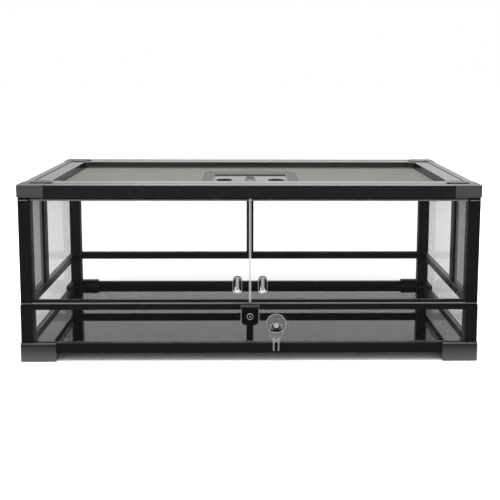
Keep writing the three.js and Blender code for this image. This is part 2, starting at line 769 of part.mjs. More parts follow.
function lockBody() {
  const half = LOCK_WIDTH / 2;
  const face = [[-half, lockTop, 1], [-half, LOCK_BOTTOM, LOCK_CORNER], [half, LOCK_BOTTOM, LOCK_CORNER],
    [half, lockTop, 1]];
  const pad = [half - LOCK_CORNER, BELT_BOTTOM - GAP];
  const boreBottom = lockFront + CYLINDER_DEPTH + GAP;
  return carve(bar('y', outline(face), lockFront, lockBack), {
    add: [block([-pad[0], pad[0]], [lockBack - EDGE, walls.front.at(PANE_SKIN) - GAP],
      [LOCK_BOTTOM + EDGE, pad[1]])],
    cut: [
      rod('y', CYLINDER_RADIUS + GAP, lockFront - EDGE, boreBottom, [0, CYLINDER_Z], LATHE_STEPS),
      block(grow([-STEM_WIDTH / 2, STEM_WIDTH / 2], GAP), grow([stemFront, stemBack], GAP),
        [latchBottom - STEM_LENGTH - GAP, lockTop + EDGE]),
    ],
  });
}

// The latch stands in front of the doors' lower edges when the cylinder lifts it.
function lockLatch() {
  const half = LATCH_WIDTH / 2;
  const top = latchBottom + LATCH_HEIGHT;
  const section = [[lockBack, latchBottom], [lockBack, top, 0.6], [lockFront + LATCH_SLOPE, top, 0.6],
    [lockFront, top - LATCH_SLOPE, 0.6], [lockFront, latchBottom, 0.6]];
  const face = [[-half, latchBottom, 0.6], [-half, top - 2, 1], [-half + 3, top, 1], [half - 3, top, 1],
    [half, top - 2, 1], [half, latchBottom, 0.6]];
  const flap = carve(bar('x', outline(section), -half, half), {
    limit: [bar('y', outline(face), lockFront - EDGE, lockBack + EDGE)],
  });
  const stem = block([-STEM_WIDTH / 2, STEM_WIDTH / 2], [stemFront, stemBack],
    [latchBottom - STEM_LENGTH, latchBottom + EDGE]);
  return carve(flap, { add: [stem] });
}

function lockCylinder() {
  const front = lockFront - CYLINDER_PROUD;
  return carve(rod('y', CYLINDER_RADIUS, front, lockFront + CYLINDER_DEPTH, [0, CYLINDER_Z], LATHE_STEPS), {
    cut: [block([-KEYHOLE_WIDTH / 2, KEYHOLE_WIDTH / 2], [front - EDGE, front + 4],
      [CYLINDER_Z - KEYHOLE_HEIGHT / 2, CYLINDER_Z + KEYHOLE_HEIGHT / 2])],
  });
}

add(assembly, 'lock_body', lockBody(), lockBlack);
add(assembly, 'lock_latch', lockLatch(), lockBlack);
const cylinder = pivotGroup(assembly, 0, lockFront, CYLINDER_Z);
add(cylinder, 'lock_cylinder', cylinder.fit(lockCylinder()), brightSteel);

// ---------------------------------------------------------------- suction cup and keys

const cupBack = walls.front.at(PANE_SKIN) - GAP;
const ringY = cupBack - CUP_DISH - CUP_NECK_LENGTH / 2;
const ringTop = CUP_NECK + GAP + WIRE_RADIUS;

function suctionCup() {
  const neck = CUP_DISH + CUP_NECK_LENGTH;
  const profile = [
    [0, 0], [CUP_RADIUS, 0], [CUP_RADIUS, 0.8], [CUP_RADIUS * 0.8, 2.2], [CUP_RADIUS * 0.45, 4],
    [CUP_NECK + 2, CUP_DISH - 0.6], [CUP_NECK, CUP_DISH + 0.6], [CUP_NECK, neck],
    [CUP_KNOB - 0.6, neck + 0.3], [CUP_KNOB, neck + 1], [CUP_KNOB, neck + CUP_KNOB_DEPTH - 1.5],
    [CUP_KNOB - 2, neck + CUP_KNOB_DEPTH - 0.3], [0, neck + CUP_KNOB_DEPTH],
  ].map(([radius, reach]) => new THREE.Vector2(radius, reach));
  return new THREE.LatheGeometry(profile, LATHE_STEPS).rotateX(Math.PI).translate(CUP_X, cupBack, CUP_Z);
}
add(assembly, 'suction_cup', suctionCup(), clearPlastic);

// The wire ring hangs on the cup's neck. It is drawn round its own hanging point.
function ringPoint(angle) {
  return new THREE.Vector3(RING_HALF_WIDTH * Math.sin(angle), 0, ringTop - RING_HALF_HEIGHT * (1 - Math.cos(angle)));
}

function keyRing() {
  const turns = 16;
  const points = Array.from({ length: turns }, (_, i) => ringPoint((2 * Math.PI * i) / turns));
  const path = new THREE.CatmullRomCurve3(points, true);
  return new THREE.TubeGeometry(path, 3 * turns, WIRE_RADIUS, 8, true);
}

// A flat key, drawn downwards from the point where the wire passes through its bow.
function key() {
  const holeZ = -(KEY_HOLE - WIRE_RADIUS - KEY_SLACK);
  const bowZ = holeZ - 1.6;
  const half = KEY_BLADE_WIDTH / 2;
  const neckAngle = Math.asin(half / KEY_BOW);
  const neckZ = bowZ - KEY_BOW * Math.cos(neckAngle);
  const tipZ = neckZ - KEY_BLADE;
  const bowSteps = 18;
  const corners = [];
  for (let i = 0; i <= bowSteps; i += 1) {
    const angle = neckAngle + (2 * (Math.PI - neckAngle) * i) / bowSteps;
    corners.push([KEY_BOW * Math.sin(angle), bowZ - KEY_BOW * Math.cos(angle)]);
  }
  const bites = 4;
  const pitch = (KEY_BLADE - 3 * half) / bites;
  for (let i = 0; i < bites; i += 1) {
    const top = neckZ - half - i * pitch;
    corners.push([-half, top], [-half + (i % 2 ? 1.1 : 1.9), top - pitch * 0.45], [-half, top - pitch * 0.9]);
  }
  corners.push([-half, tipZ + half], [0, tipZ], [half, tipZ + half]);
  return carve(bar('y', outline(corners), -KEY_THICKNESS / 2, KEY_THICKNESS / 2), {
    cut: [rod('y', KEY_HOLE, -KEY_THICKNESS, KEY_THICKNESS, [0, holeZ], LATHE_STEPS)],
  });
}

const ring = new THREE.Group();
ring.position.set(CUP_X, ringY, CUP_Z);
assembly.add(ring);
add(ring, 'key_ring', keyRing(), brightSteel);
for (const [name, side] of [['key_left', -1], ['key_right', 1]]) {
  const angle = Math.PI - side * Math.asin(KEY_SPACING / 2 / RING_HALF_WIDTH);
  const hanging = add(ring, name, key(), brightSteel);
  hanging.position.copy(ringPoint(angle));
  hanging.rotation.z = THREE.MathUtils.degToRad(90 - side * KEY_TURN);
}

// ---------------------------------------------------------------- screen lid

const lid = new THREE.Group();
lid.position.z = lidBottom;
assembly.add(lid);

const lidHalfWidth = halfWidth - TOP_STRIP_SIDE - LID_GROOVE;
const lidHalfDepth = halfDepth - TOP_STRIP_FRONT - LID_GROOVE;
const openHalfWidth = lidHalfWidth - LID_RAIL_SIDE;
const openHalfDepth = lidHalfDepth - LID_RAIL_FRONT;
const meshZ = [LID_MESH_LIFT, LID_MESH_LIFT + MESH_THICKNESS];
const meshHalf = [openHalfWidth + LID_MESH_SEAT - GAP, openHalfDepth + LID_MESH_SEAT - GAP];

function lidSection(half, width) {
  const inner = half - width;
  return [[inner, 0], [inner, LID_HEIGHT, EDGE], [half, LID_HEIGHT, EDGE], [half, 0, EDGE]];
}

// The concave web in the corner of the lid's opening, drawn for the corner at (+x, +y).
function gusset(xSide, ySide) {
  const corner = [openHalfWidth - GAP, openHalfDepth + EDGE];
  const edge = LID_GUSSET_EDGE;
  const reach = LID_GUSSET + edge;
  const points = [[corner[0], corner[1]], [corner[0] - reach, corner[1]],
    [corner[0] - reach, openHalfDepth - edge]];
  const steps = 6;
  for (let i = 1; i < steps; i += 1) {
    const angle = (Math.PI / 2) * (1 - i / steps);
    points.push([
      corner[0] - reach + LID_GUSSET * Math.cos(angle),
      openHalfDepth - edge - LID_GUSSET * (1 - Math.sin(angle)),
    ]);
  }
  points.push([corner[0] - edge, openHalfDepth - reach], [corner[0], openHalfDepth - reach]);
  const mirrored = points.map(([x, y]) => [xSide * x, ySide * y]);
  return bar('z', outline(mirrored), LID_BEAD_HEIGHT + GAP, LID_HEIGHT - 1);
}

// The front and back rails of the lid run its full width and carry the corner webs.
function lidLongRail(side) {
  const section = lidSection(lidHalfDepth, LID_RAIL_FRONT).map(([y, z, r]) => [side * y, z, r]);
  const beadEnd = openHalfWidth - GAP;
  const beadFace = side * (openHalfDepth - LID_BEAD);
  const seat = [beadFace - side, side * (openHalfDepth + LID_MESH_SEAT)];
  return carve(bar('x', outline(section), -lidHalfWidth, lidHalfWidth), {
    add: [
      block([-beadEnd, beadEnd], [beadFace, side * (openHalfDepth + EDGE)], [0, LID_BEAD_HEIGHT]),
      gusset(1, side),
      gusset(-1, side),
    ],
    cut: [block(grow([-meshHalf[0], meshHalf[0]], GAP), seat, grow(meshZ, GAP))],
  });
}

function lidShortRail(side) {
  const section = lidSection(lidHalfWidth, LID_RAIL_SIDE).map(([x, z, r]) => [side * x, z, r]);
  const end = openHalfDepth - GAP;
  const beadFace = side * (openHalfWidth - LID_BEAD);
  const beadEnd = openHalfDepth - LID_BEAD - GAP;
  const seat = [beadFace - side, side * (openHalfWidth + LID_MESH_SEAT)];
  return carve(bar('y', outline(section), -end, end), {
    add: [block([beadFace, side * (openHalfWidth + EDGE)], [-beadEnd, beadEnd], [0, LID_BEAD_HEIGHT])],
    cut: [block(seat, [-end - 1, end + 1], grow(meshZ, GAP))],
  });
}

add(lid, 'lid_rail_front', lidLongRail(-1), frameBlack);
add(lid, 'lid_rail_back', lidLongRail(1), frameBlack);
add(lid, 'lid_rail_left', lidShortRail(-1), frameBlack);
add(lid, 'lid_rail_right', lidShortRail(1), frameBlack);

const collarHalf = HATCH_HALF_WIDTH + HATCH_WALL;
const collarY = [HATCH_FRONT - HATCH_WALL, HATCH_BACK + HATCH_WALL];

const halfRim = HATCH_HALF_WIDTH + HATCH_RIM_SIDE;
const rimY = [HATCH_FRONT - HATCH_RIM_SIDE, HATCH_BACK + HATCH_RIM_BACK];

// The mesh is a sheet with a plain grid of openings, left whole under the hatch's rim.
function lidMesh() {
  const cell = (half, count, i) => {
    const pitch = (2 * half + MESH_BAR) / count;
    return [-half + i * pitch, -half + (i + 1) * pitch - MESH_BAR];
  };
  const halfX = openHalfWidth - LID_BEAD - MESH_MARGIN;
  const halfY = openHalfDepth - LID_BEAD - MESH_MARGIN;
  const openings = Array.from({ length: MESH_COLUMNS * MESH_ROWS }, (_, i) => block(
    cell(halfX, MESH_COLUMNS, i % MESH_COLUMNS),
    cell(halfY, MESH_ROWS, Math.floor(i / MESH_COLUMNS)),
    grow(meshZ, EDGE),
  ));
  const sheet = block([-meshHalf[0], meshHalf[0]], [-meshHalf[1], meshHalf[1]], meshZ);
  return carve(carve(sheet, { cut: openings }), {
    add: [block([-halfRim, halfRim], rimY, meshZ)],
    cut: [block(grow([-collarHalf, collarHalf], GAP), grow(collarY, GAP), grow(meshZ, EDGE))],
  });
}
add(lid, 'lid_mesh', lidMesh(), meshGrey);

// ---------------------------------------------------------------- hatch

const rimZ = [meshZ[1] + GAP, meshZ[1] + GAP + HATCH_RIM];
const collarBottom = rimZ[1] - HATCH_COLLAR_DEPTH;
const coverBottom = collarBottom + HATCH_LEDGE_HEIGHT + GAP;
const coverHalf = HATCH_HALF_WIDTH - GAP;
const coverY = [HATCH_FRONT + 3 * GAP, HATCH_BACK - GAP];
const hingeY = coverY[1] - COVER_BARREL;
const hingeZ = rimZ[1] - COVER_BARREL;
const sliderBottom = coverBottom + COVER_WALL + GAP;
const sliderZ = [sliderBottom, sliderBottom + SLIDER_THICKNESS];
const sliderHalf = SLIDER_WIDTH / 2;
const sliderBack = coverY[1] - SLIDER_SETBACK;

function hatchFrame() {
  const bevel = HATCH_RIM - 1;
  const rimPlan = (shrink, corner) => [
    [-halfRim + shrink, rimY[0] + shrink, corner], [halfRim - shrink, rimY[0] + shrink, corner],
    [halfRim - shrink, rimY[1] - shrink, corner], [-halfRim + shrink, rimY[1] - shrink, corner],
  ];
  const plate = new THREE.ExtrudeGeometry(outline(rimPlan(bevel, 8)), {
    depth: HATCH_RIM - bevel, bevelEnabled: true, bevelThickness: bevel, bevelSize: bevel,
    bevelSegments: 1, curveSegments: 4,
  }).translate(0, 0, rimZ[0]);
  const collar = block([-collarHalf, collarHalf], collarY, [collarBottom, rimZ[1]]);
  const pinSpan = collarHalf - GAP;
  const rim = carve(plate, { limit: [block([-halfRim - 1, halfRim + 1], grow(rimY, 1), rimZ)] });
  return carve(rim, {
    add: [collar],
    cut: [
      block([-HATCH_HALF_WIDTH, HATCH_HALF_WIDTH], [HATCH_FRONT, HATCH_BACK],
        [collarBottom + HATCH_LEDGE_HEIGHT, rimZ[1] + 1]),
      block(grow([-HATCH_HALF_WIDTH, HATCH_HALF_WIDTH], -HATCH_LEDGE),
        grow([HATCH_FRONT, HATCH_BACK], -HATCH_LEDGE), [collarBottom - 1, collarBottom + HATCH_LEDGE_HEIGHT + 1]),
      rod('x', COVER_PIN + GAP, -pinSpan, pinSpan, [hingeY, hingeZ], 12),
      block(grow([-sliderHalf, sliderHalf], 2 * GAP), [collarY[0] - 1, HATCH_FRONT + 1], grow(sliderZ, 2 * GAP)),
    ],
  });
}

// The cover is a shallow tray with two sleeved round ports, hinged along its back edge.
function hatchCover() {
  const top = rimZ[1] - 1;
  const wallTop = hingeZ;
  const inner = coverHalf - COVER_WALL;
  const floorTop = coverBottom + COVER_WALL;
  const portRods = (radius, bottom, height) => [-1, 1].map((side) => (
    rod('z', radius, bottom, height, [side * PORT_X, HATCH_BACK - PORT_SETBACK], LATHE_STEPS)));
  const sleeveBottom = coverBottom - PORT_SLEEVE;
  const clipX = sliderHalf + GAP;
  // Two pairs of hooked clips hold the slider down, clear of its grip at full travel.
  const clipTop = sliderZ[1] + GAP + CLIP_WALL;
  const gripFront = sliderBack - SLIDER_GRIP - SLIDER_TRAVEL;
  const clipStarts = [coverY[0] + CLIP_SETBACK, gripFront - 2 * CLIP_WALL - CLIP_LENGTH];
  const clips = [-1, 1].flatMap((side) => clipStarts.flatMap((y) => [
    block([side * clipX, side * (clipX + CLIP_WALL)], [y, y + CLIP_LENGTH], [floorTop - 1, clipTop]),
    block([side * (clipX - CLIP_WALL), side * (clipX + 1)], [y, y + CLIP_LENGTH],
      [sliderZ[1] + GAP, clipTop]),
  ]));
  // The lower back edge is rounded, so that it clears the ledge as the cover turns.
  const section = [[coverY[1], coverBottom, COVER_HEEL], [coverY[1], top], [coverY[0], top],
    [coverY[0], coverBottom]];
  const shell = carve(bar('x', outline(section), -coverHalf, coverHalf), {
    add: portRods(PORT_RADIUS + PORT_WALL, sleeveBottom, floorTop - 0.5),
    cut: [
      block([-inner, inner], grow(coverY, -COVER_WALL), [floorTop, top + 1]),
      block([-coverHalf - 1, coverHalf + 1], [coverY[1] - 2 * COVER_BARREL, coverY[1] + 1], [wallTop, top + 1]),
      ...portRods(PORT_RADIUS, sleeveBottom - 1, floorTop + 1),
      block(grow([-sliderHalf, sliderHalf], GAP), [coverY[0] - 1, coverY[0] + COVER_WALL + 1],
        grow(sliderZ, GAP)),
    ],
  });
  return carve(shell, {
    add: [
      rod('x', COVER_BARREL, -coverHalf, coverHalf, [hingeY, hingeZ], 12),
      rod('x', COVER_PIN, -collarHalf + 2 * GAP, collarHalf - 2 * GAP, [hingeY, hingeZ], 12),
      ...clips,
    ],
  });
}

// The slider locks the cover: its nose runs out into the collar when it is pushed forward.
function hatchSlider() {
  const bolt = block([-sliderHalf, sliderHalf], [coverY[0], sliderBack], sliderZ);
  const ribs = 5;
  const pitch = SLIDER_GRIP / ribs;
  const grips = Array.from({ length: ribs }, (_, i) => {
    const y = sliderBack - (i + 1) * pitch;
    const ridge = [[y, sliderZ[1] - 0.5], [y, sliderZ[1]], [y + pitch / 2, sliderZ[1] + SLIDER_GRIP_HEIGHT],
      [y + pitch - 1, sliderZ[1]], [y + pitch - 1, sliderZ[1] - 0.5]];
    return bar('x', outline(ridge), -sliderHalf + 1, sliderHalf - 1);
  });
  return carve(bolt, { add: grips });
}

add(lid, 'hatch_frame', hatchFrame(), blockGrey);
const hatch = pivotGroup(lid, 0, hingeY, hingeZ);
add(hatch, 'hatch_cover', hatch.fit(hatchCover()), blockGrey);
add(hatch, 'hatch_slider', hatch.fit(hatchSlider()), meshGrey);

export default assembly;
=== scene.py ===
"""Looks of a terrarium cabinet: a wide glass case with a black frame, glass doors and a screen lid."""

from __future__ import annotations

import json
import logging
import math
from collections.abc import Sequence
from dataclasses import dataclass, field
from enum import Enum

import bmesh
import bpy
from mathutils import Matrix, Vector

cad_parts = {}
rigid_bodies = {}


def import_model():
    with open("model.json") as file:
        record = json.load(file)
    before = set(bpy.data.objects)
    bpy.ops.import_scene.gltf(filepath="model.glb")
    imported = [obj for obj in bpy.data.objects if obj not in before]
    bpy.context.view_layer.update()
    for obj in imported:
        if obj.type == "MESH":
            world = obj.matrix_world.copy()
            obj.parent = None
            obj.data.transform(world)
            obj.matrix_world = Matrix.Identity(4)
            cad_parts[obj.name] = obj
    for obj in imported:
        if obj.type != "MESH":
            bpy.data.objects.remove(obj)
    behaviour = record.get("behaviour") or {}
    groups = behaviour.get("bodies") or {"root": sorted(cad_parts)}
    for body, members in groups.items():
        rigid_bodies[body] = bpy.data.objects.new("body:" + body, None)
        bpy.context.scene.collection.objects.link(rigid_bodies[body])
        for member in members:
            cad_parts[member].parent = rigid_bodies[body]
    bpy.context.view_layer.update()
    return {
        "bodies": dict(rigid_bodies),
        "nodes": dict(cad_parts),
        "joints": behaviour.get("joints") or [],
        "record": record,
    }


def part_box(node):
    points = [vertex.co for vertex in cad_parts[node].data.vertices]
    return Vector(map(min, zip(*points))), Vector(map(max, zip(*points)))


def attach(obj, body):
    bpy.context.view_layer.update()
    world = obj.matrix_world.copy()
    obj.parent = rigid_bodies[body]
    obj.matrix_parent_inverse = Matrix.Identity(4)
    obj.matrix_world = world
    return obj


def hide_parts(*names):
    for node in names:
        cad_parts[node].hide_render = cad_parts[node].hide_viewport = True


LOG = logging.getLogger("terrarium_cabinet")
MM = 0.001
SIDES = ("left", "right")
WALLS = ("front", "back", "left", "right")
CORNERS = ("front_left", "front_right", "back_left", "back_right")

NODE_COLUMN = 190
PICTURE_WIDTH = 500
KEY_SPREAD = 34
# The pale tone of dust, also used as a painted sheen of light on upward faces.
DUST_AND_SHEEN = (0.55, 0.5, 0.46)

Rgb = tuple[float, float, float]
Point = tuple[float, float, float]
Profile = Sequence[tuple[float, float]]


def linear(red: int, green: int, blue: int) -> Rgb:
    """Turns an 8-bit display colour into a linear one.

    Args:
        red: The red channel.
        green: The green channel.
        blue: The blue channel.

    Returns:
        The linear colour.
    """

    def channel(value: int) -> float:
        """Returns one channel's linear value."""
        share = value / 255
        return share / 12.92 if share <= 0.04045 else ((share + 0.055) / 1.055) ** 2.4

    return channel(red), channel(green), channel(blue)


# ------------------------------------------------------------------ node helpers


@dataclass
class NodeSheet:
    """A node tree that is filled by name, a column at a time.

    Args:
        tree: The tree that takes the nodes.
    """

    tree: bpy.types.NodeTree
    column: int = field(default=0, init=False)

    def add(self, kind: str, values: dict[str, object] | None = None, **settings: object) -> bpy.types.Node:
        """Adds a node.

        Args:
            kind: The node's type name.
            values: Sockets to set, or to link when the value is a socket.
            **settings: Properties of the node itself.

        Returns:
            The new node.
        """
        node = self.tree.nodes.new(kind)
        node.location = (self.column * NODE_COLUMN, 0)
        self.column += 1
        for name, value in settings.items():
            setattr(node, name, value)
        for name, value in (values or {}).items():
            socket = node.inputs[name]
            if isinstance(value, bpy.types.NodeSocket):
                self.tree.links.new(value, socket)
            else:
                socket.default_value = value
        return node

    def math(
        self, operation: str, first: object, second: object = 0.0, third: object = 0.0
    ) -> bpy.types.NodeSocket:
        """Adds a Math node.

        Args:
            operation: The operation's name.
            first: The first value or socket.
            second: The second value or socket.
            third: The third value or socket.

        Returns:
            The node's output.
        """
        node = self.add("ShaderNodeMath", operation=operation)
        for socket, value in zip(node.inputs, (first, second, third)):
            if isinstance(value, bpy.types.NodeSocket):
                self.tree.links.new(value, socket)
            else:
                socket.default_value = value
        return node.outputs[0]

    def mix_colour(self, share: object, first: object, second: object) -> bpy.types.NodeSocket:
        """Adds a colour mix.

        Args:
            share: The share of the second colour, as a value or a socket.
            first: The first colour or socket.
            second: The second colour or socket.

        Returns:
            The mixed colour's socket.
        """
        node = self.add("ShaderNodeMix", data_type="RGBA")
        share_socket, first_socket, second_socket, colour_socket = 0, 6, 7, 2
        for index, value in ((share_socket, share), (first_socket, first), (second_socket, second)):
            if isinstance(value, bpy.types.NodeSocket):
                self.tree.links.new(value, node.inputs[index])
            else:
                node.inputs[index].default_value = (*value, 1) if isinstance(value, tuple) else value
        return node.outputs[colour_socket]


def new_group(
    name: str, kind: str, inputs: dict[str, tuple[str, float | None]], outputs: dict[str, str]
) -> NodeSheet:
    """Starts a node group with named sockets.

    Args:
        name: The group's name.
        kind: The tree's type name.
        inputs: Each input's socket type, and its value or None.
        outputs: Each output's socket type.

    Returns:
        The sheet for the group's tree.
    """
    tree = bpy.data.node_groups.new(name, kind)
    for label, (socket_type, value) in inputs.items():
        socket = tree.interface.new_socket(label, in_out="INPUT", socket_type=socket_type)
        if value is not None:
            socket.default_value = value
    for label, socket_type in outputs.items():
        tree.interface.new_socket(label, in_out="OUTPUT", socket_type=socket_type)
    return NodeSheet(tree)


class SurfaceGroups:
    """The effects that several finishes share, each a node group that is built once."""

    def __init__(self) -> None:
        """Builds the groups."""
        self.grain = self._grain()
        self.dust_and_sheen = self._dust_and_sheen()
        self.scuffs = self._scuffs()

    @staticmethod
    def _grain() -> bpy.types.NodeTree:
        """Builds a fine moulded grain.

        Returns:
            The group, which puts out a height, a mask of the hollows and a slow cloud.
        """
        sheet = new_group(
            "moulded_grain",
            "ShaderNodeTree",
            {"Scale": ("NodeSocketFloat", 900.0), "Coarse": ("NodeSocketFloat", 60.0)},
            {"Height": "NodeSocketFloat", "Mask": "NodeSocketFloat", "Cloud": "NodeSocketFloat"},
        )
        given = sheet.add("NodeGroupInput")
        place = sheet.add("ShaderNodeTexCoord").outputs["Object"]
        pits = sheet.add(
            "ShaderNodeTexVoronoi",
            {"Vector": place, "Scale": given.outputs["Scale"]},
            feature="SMOOTH_F1",
        )
        fine = sheet.add(
            "ShaderNodeTexNoise", {"Vector": place, "Scale": given.outputs["Scale"], "Detail": 3.0}
        )
        cloud = sheet.add(
            "ShaderNodeTexNoise", {"Vector": place, "Scale": given.outputs["Coarse"], "Detail": 4.0}
        )
        pit_share = 0.7
        height = sheet.math("MULTIPLY_ADD", pits.outputs["Distance"], pit_share, fine.outputs["Fac"])
        result = sheet.add("NodeGroupOutput")
        sheet.tree.links.new(height, result.inputs["Height"])
        sheet.tree.links.new(pits.outputs["Distance"], result.inputs["Mask"])
        sheet.tree.links.new(cloud.outputs["Fac"], result.inputs["Cloud"])
        return sheet.tree

    @staticmethod
    def _dust_and_sheen() -> bpy.types.NodeTree:
        """Builds a thin pale film on what faces up, broken up by noise: partly dust and partly a painted
        sheen of light on the tops.

        Returns:
            The group, which puts out the mask of the dust and the painted sheen.
        """
        sheet = new_group(
            "dust_and_top_sheen",
            "ShaderNodeTree",
            {"Amount": ("NodeSocketFloat", 0.1)},
            {"Mask": "NodeSocketFloat"},
        )
        given = sheet.add("NodeGroupInput")
        place = sheet.add("ShaderNodeTexCoord").outputs["Object"]
        normal = sheet.add("ShaderNodeNewGeometry").outputs["Normal"]
        upward = sheet.add("ShaderNodeSeparateXYZ", {"Vector": normal}).outputs["Z"]
        flat = sheet.math("POWER", sheet.math("MAXIMUM", upward, 0.0), 3.0)
        patches = sheet.add("ShaderNodeTexNoise", {"Vector": place, "Scale": 14.0, "Detail": 6.0})
        specks = sheet.add("ShaderNodeTexNoise", {"Vector": place, "Scale": 700.0, "Detail": 2.0})
        broken = sheet.math("MULTIPLY", patches.outputs["Fac"], specks.outputs["Fac"])
        mask = sheet.math("MULTIPLY", sheet.math("MULTIPLY", flat, broken), given.outputs["Amount"])
        result = sheet.add("NodeGroupOutput")
        sheet.tree.links.new(mask, result.inputs["Mask"])
        return sheet.tree

    @staticmethod
    def _scuffs() -> bpy.types.NodeTree:
        """Builds fine rubbing marks that run in wavering lines.

        Returns:
            The group, which puts out the marks' mask.
        """
        sheet = new_group(
            "fine_scuffs",
            "ShaderNodeTree",
            {"Scale": ("NodeSocketFloat", 12.0), "Stretch": ("NodeSocketFloat", 30.0)},
            {"Mask": "NodeSocketFloat"},
        )
        given = sheet.add("NodeGroupInput")
        place = sheet.add("ShaderNodeTexCoord").outputs["Object"]
        stretch = sheet.add(
            "ShaderNodeCombineXYZ", {"X": 1.0, "Y": given.outputs["Stretch"], "Z": given.outputs["Stretch"]}
        )
        drawn = sheet.add("ShaderNodeVectorMath", operation="MULTIPLY")
        sheet.tree.links.new(place, drawn.inputs[0])
        sheet.tree.links.new(stretch.outputs[0], drawn.inputs[1])
        lines = sheet.add(
            "ShaderNodeTexNoise",
            {"Vector": drawn.outputs[0], "Scale": given.outputs["Scale"], "Detail": 5.0, "Distortion": 0.6},
        )
        mask = sheet.add(
            "ShaderNodeMapRange",
            {"Value": lines.outputs["Fac"], "From Min": 0.58, "From Max": 0.72},
        )
        result = sheet.add("NodeGroupOutput")
        sheet.tree.links.new(mask.outputs[0], result.inputs["Mask"])
        return sheet.tree


# ------------------------------------------------------------------ finishes


@dataclass(frozen=True)
class Finish:
    """A surface finish.

    Args:
        name: The material's name.
        colour: The linear base colour.
        roughness: How matt the surface is.
    """

    name: str
    colour: Rgb
    roughness: float

    def scaled(self, factor: float) -> Rgb:
        """Returns the base colour made a number of times paler."""
        red, green, blue = self.colour
        return red * factor, green * factor, blue * factor

    def start(self) -> tuple[bpy.types.Material, NodeSheet, bpy.types.Node]:
        """Starts the material with its colour and its roughness.

        Returns:
            The bare material, its sheet and its main shader.
        """
        material = bpy.data.materials.new(self.name)
        material.use_nodes = True
        material.diffuse_color = (*self.colour, 1)
        shader = material.node_tree.nodes["Principled BSDF"]
        shader.inputs["Base Color"].default_value = (*self.colour, 1)
        shader.inputs["Roughness"].default_value = self.roughness
        return material, NodeSheet(material.node_tree), shader

    def build(self, groups: SurfaceGroups) -> bpy.types.Material:
        """Builds the material.

        Args:
            groups: The shared effects.

        Returns:
            The material.
        """
        return self.start()[0]


@dataclass(frozen=True)
class MouldedPlastic(Finish):
    """Moulded or extruded plastic with a fine grain.

    Args:
        grain: Grains in a metre.
        relief: How far the grain stands out, in metres.
        strength: How much the grain tilts the surface.
        variation: How much the tone wanders.
        clouding: How much the gloss wanders.
        rubbing: How much glossier the rubbing marks are.
        dust_and_sheen: The dust on what faces up, and the painted sheen of light there.
        ior: How strongly it mirrors.
        bounce_light_below: The height in metres under which the tone grows paler, a painted light bounced
            up from the ground, or 0 for never.
        palest_at: The height in metres at which it is palest.
        palest: How many times paler it is there.
    """

    grain: float = 1500.0
    relief: float = 0.04 * MM
    strength: float = 0.35
    variation: float = 0.18
    clouding: float = 0.12
    rubbing: float = 0.06
    dust_and_sheen: float = 0.12
    ior: float = 1.5
    bounce_light_below: float = 0.0
    palest_at: float = 4 * MM
    palest: float = 18.0

    def build(self, groups: SurfaceGroups) -> bpy.types.Material:
        """Builds the plastic, with its grain in the tone, the gloss and the relief.

        Args:
            groups: The shared effects.

        Returns:
            The plastic.
        """
        material, sheet, shader = self.start()
        grain = sheet.add("ShaderNodeGroup", node_tree=groups.grain)
        grain.inputs["Scale"].default_value = self.grain
        dust_and_sheen = sheet.add("ShaderNodeGroup", node_tree=groups.dust_and_sheen)
        dust_and_sheen.inputs["Amount"].default_value = self.dust_and_sheen
        scuffs = sheet.add("ShaderNodeGroup", node_tree=groups.scuffs)
        toned = sheet.mix_colour(
            grain.outputs["Cloud"], self.scaled(1 - self.variation), self.scaled(1 + self.variation)
        )
        # Painted light: the tone grows paler towards the bottom, standing in for light bounced up from the
        # ground.
        if self.bounce_light_below:
            place = sheet.add("ShaderNodeTexCoord").outputs["Object"]
            height = sheet.add("ShaderNodeSeparateXYZ", {"Vector": place}).outputs["Z"]
            low = sheet.add(
                "ShaderNodeMapRange",
                {"Value": height, "From Min": self.bounce_light_below, "From Max": self.palest_at},
            )
            toned = sheet.mix_colour(low.outputs[0], toned, self.scaled(self.palest))
        # Upward faces are mixed toward a pale tone: partly dust, partly a painted sheen of light.
        dust_and_sheen_tone = sheet.mix_colour(dust_and_sheen.outputs["Mask"], toned, DUST_AND_SHEEN)
        rubbed = sheet.math("MULTIPLY_ADD", scuffs.outputs["Mask"], -self.rubbing, self.roughness)
        lowered = sheet.math("SUBTRACT", rubbed, self.clouding / 2)
        cloudy = sheet.math("MULTIPLY_ADD", grain.outputs["Cloud"], self.clouding, lowered)
        rough = sheet.math("ADD", cloudy, dust_and_sheen.outputs["Mask"])
        bump = sheet.add(
            "ShaderNodeBump",
            {"Height": grain.outputs["Height"], "Distance": self.relief, "Strength": self.strength},
        )
        sheet.tree.links.new(dust_and_sheen_tone, shader.inputs["Base Color"])
        sheet.tree.links.new(rough, shader.inputs["Roughness"])
        sheet.tree.links.new(bump.outputs[0], shader.inputs["Normal"])
        shader.inputs["IOR"].default_value = self.ior
        return material


@dataclass(frozen=True)
class PolishedSheet(Finish):
    """A glossy dark sheet with fine rubbing marks.

    Args:
        rubbing: How much duller the rubbing marks are.
        dust_and_sheen: The dust on it, and the painted sheen of light on what faces up.
        ior: How strongly it mirrors.
    """

    rubbing: float = 0.02
    dust_and_sheen: float = 0.02
    ior: float = 1.5

    def build(self, groups: SurfaceGroups) -> bpy.types.Material:
        """Builds the sheet's material.

        Args:
            groups: The shared effects.

        Returns:
            The material.
        """
        material, sheet, shader = self.start()
        scuffs = sheet.add("ShaderNodeGroup", node_tree=groups.scuffs)
        dust_and_sheen = sheet.add("ShaderNodeGroup", node_tree=groups.dust_and_sheen)
        dust_and_sheen.inputs["Amount"].default_value = self.dust_and_sheen
        rough = sheet.math("MULTIPLY_ADD", scuffs.outputs["Mask"], self.rubbing, self.roughness)
        # Upward faces are mixed toward a pale tone: partly dust, partly a painted sheen of light.
        dust_and_sheen_tone = sheet.mix_colour(dust_and_sheen.outputs["Mask"], self.colour, DUST_AND_SHEEN)
        sheet.tree.links.new(rough, shader.inputs["Roughness"])
        sheet.tree.links.new(dust_and_sheen_tone, shader.inputs["Base Color"])
        shader.inputs["IOR"].default_value = self.ior
        return material


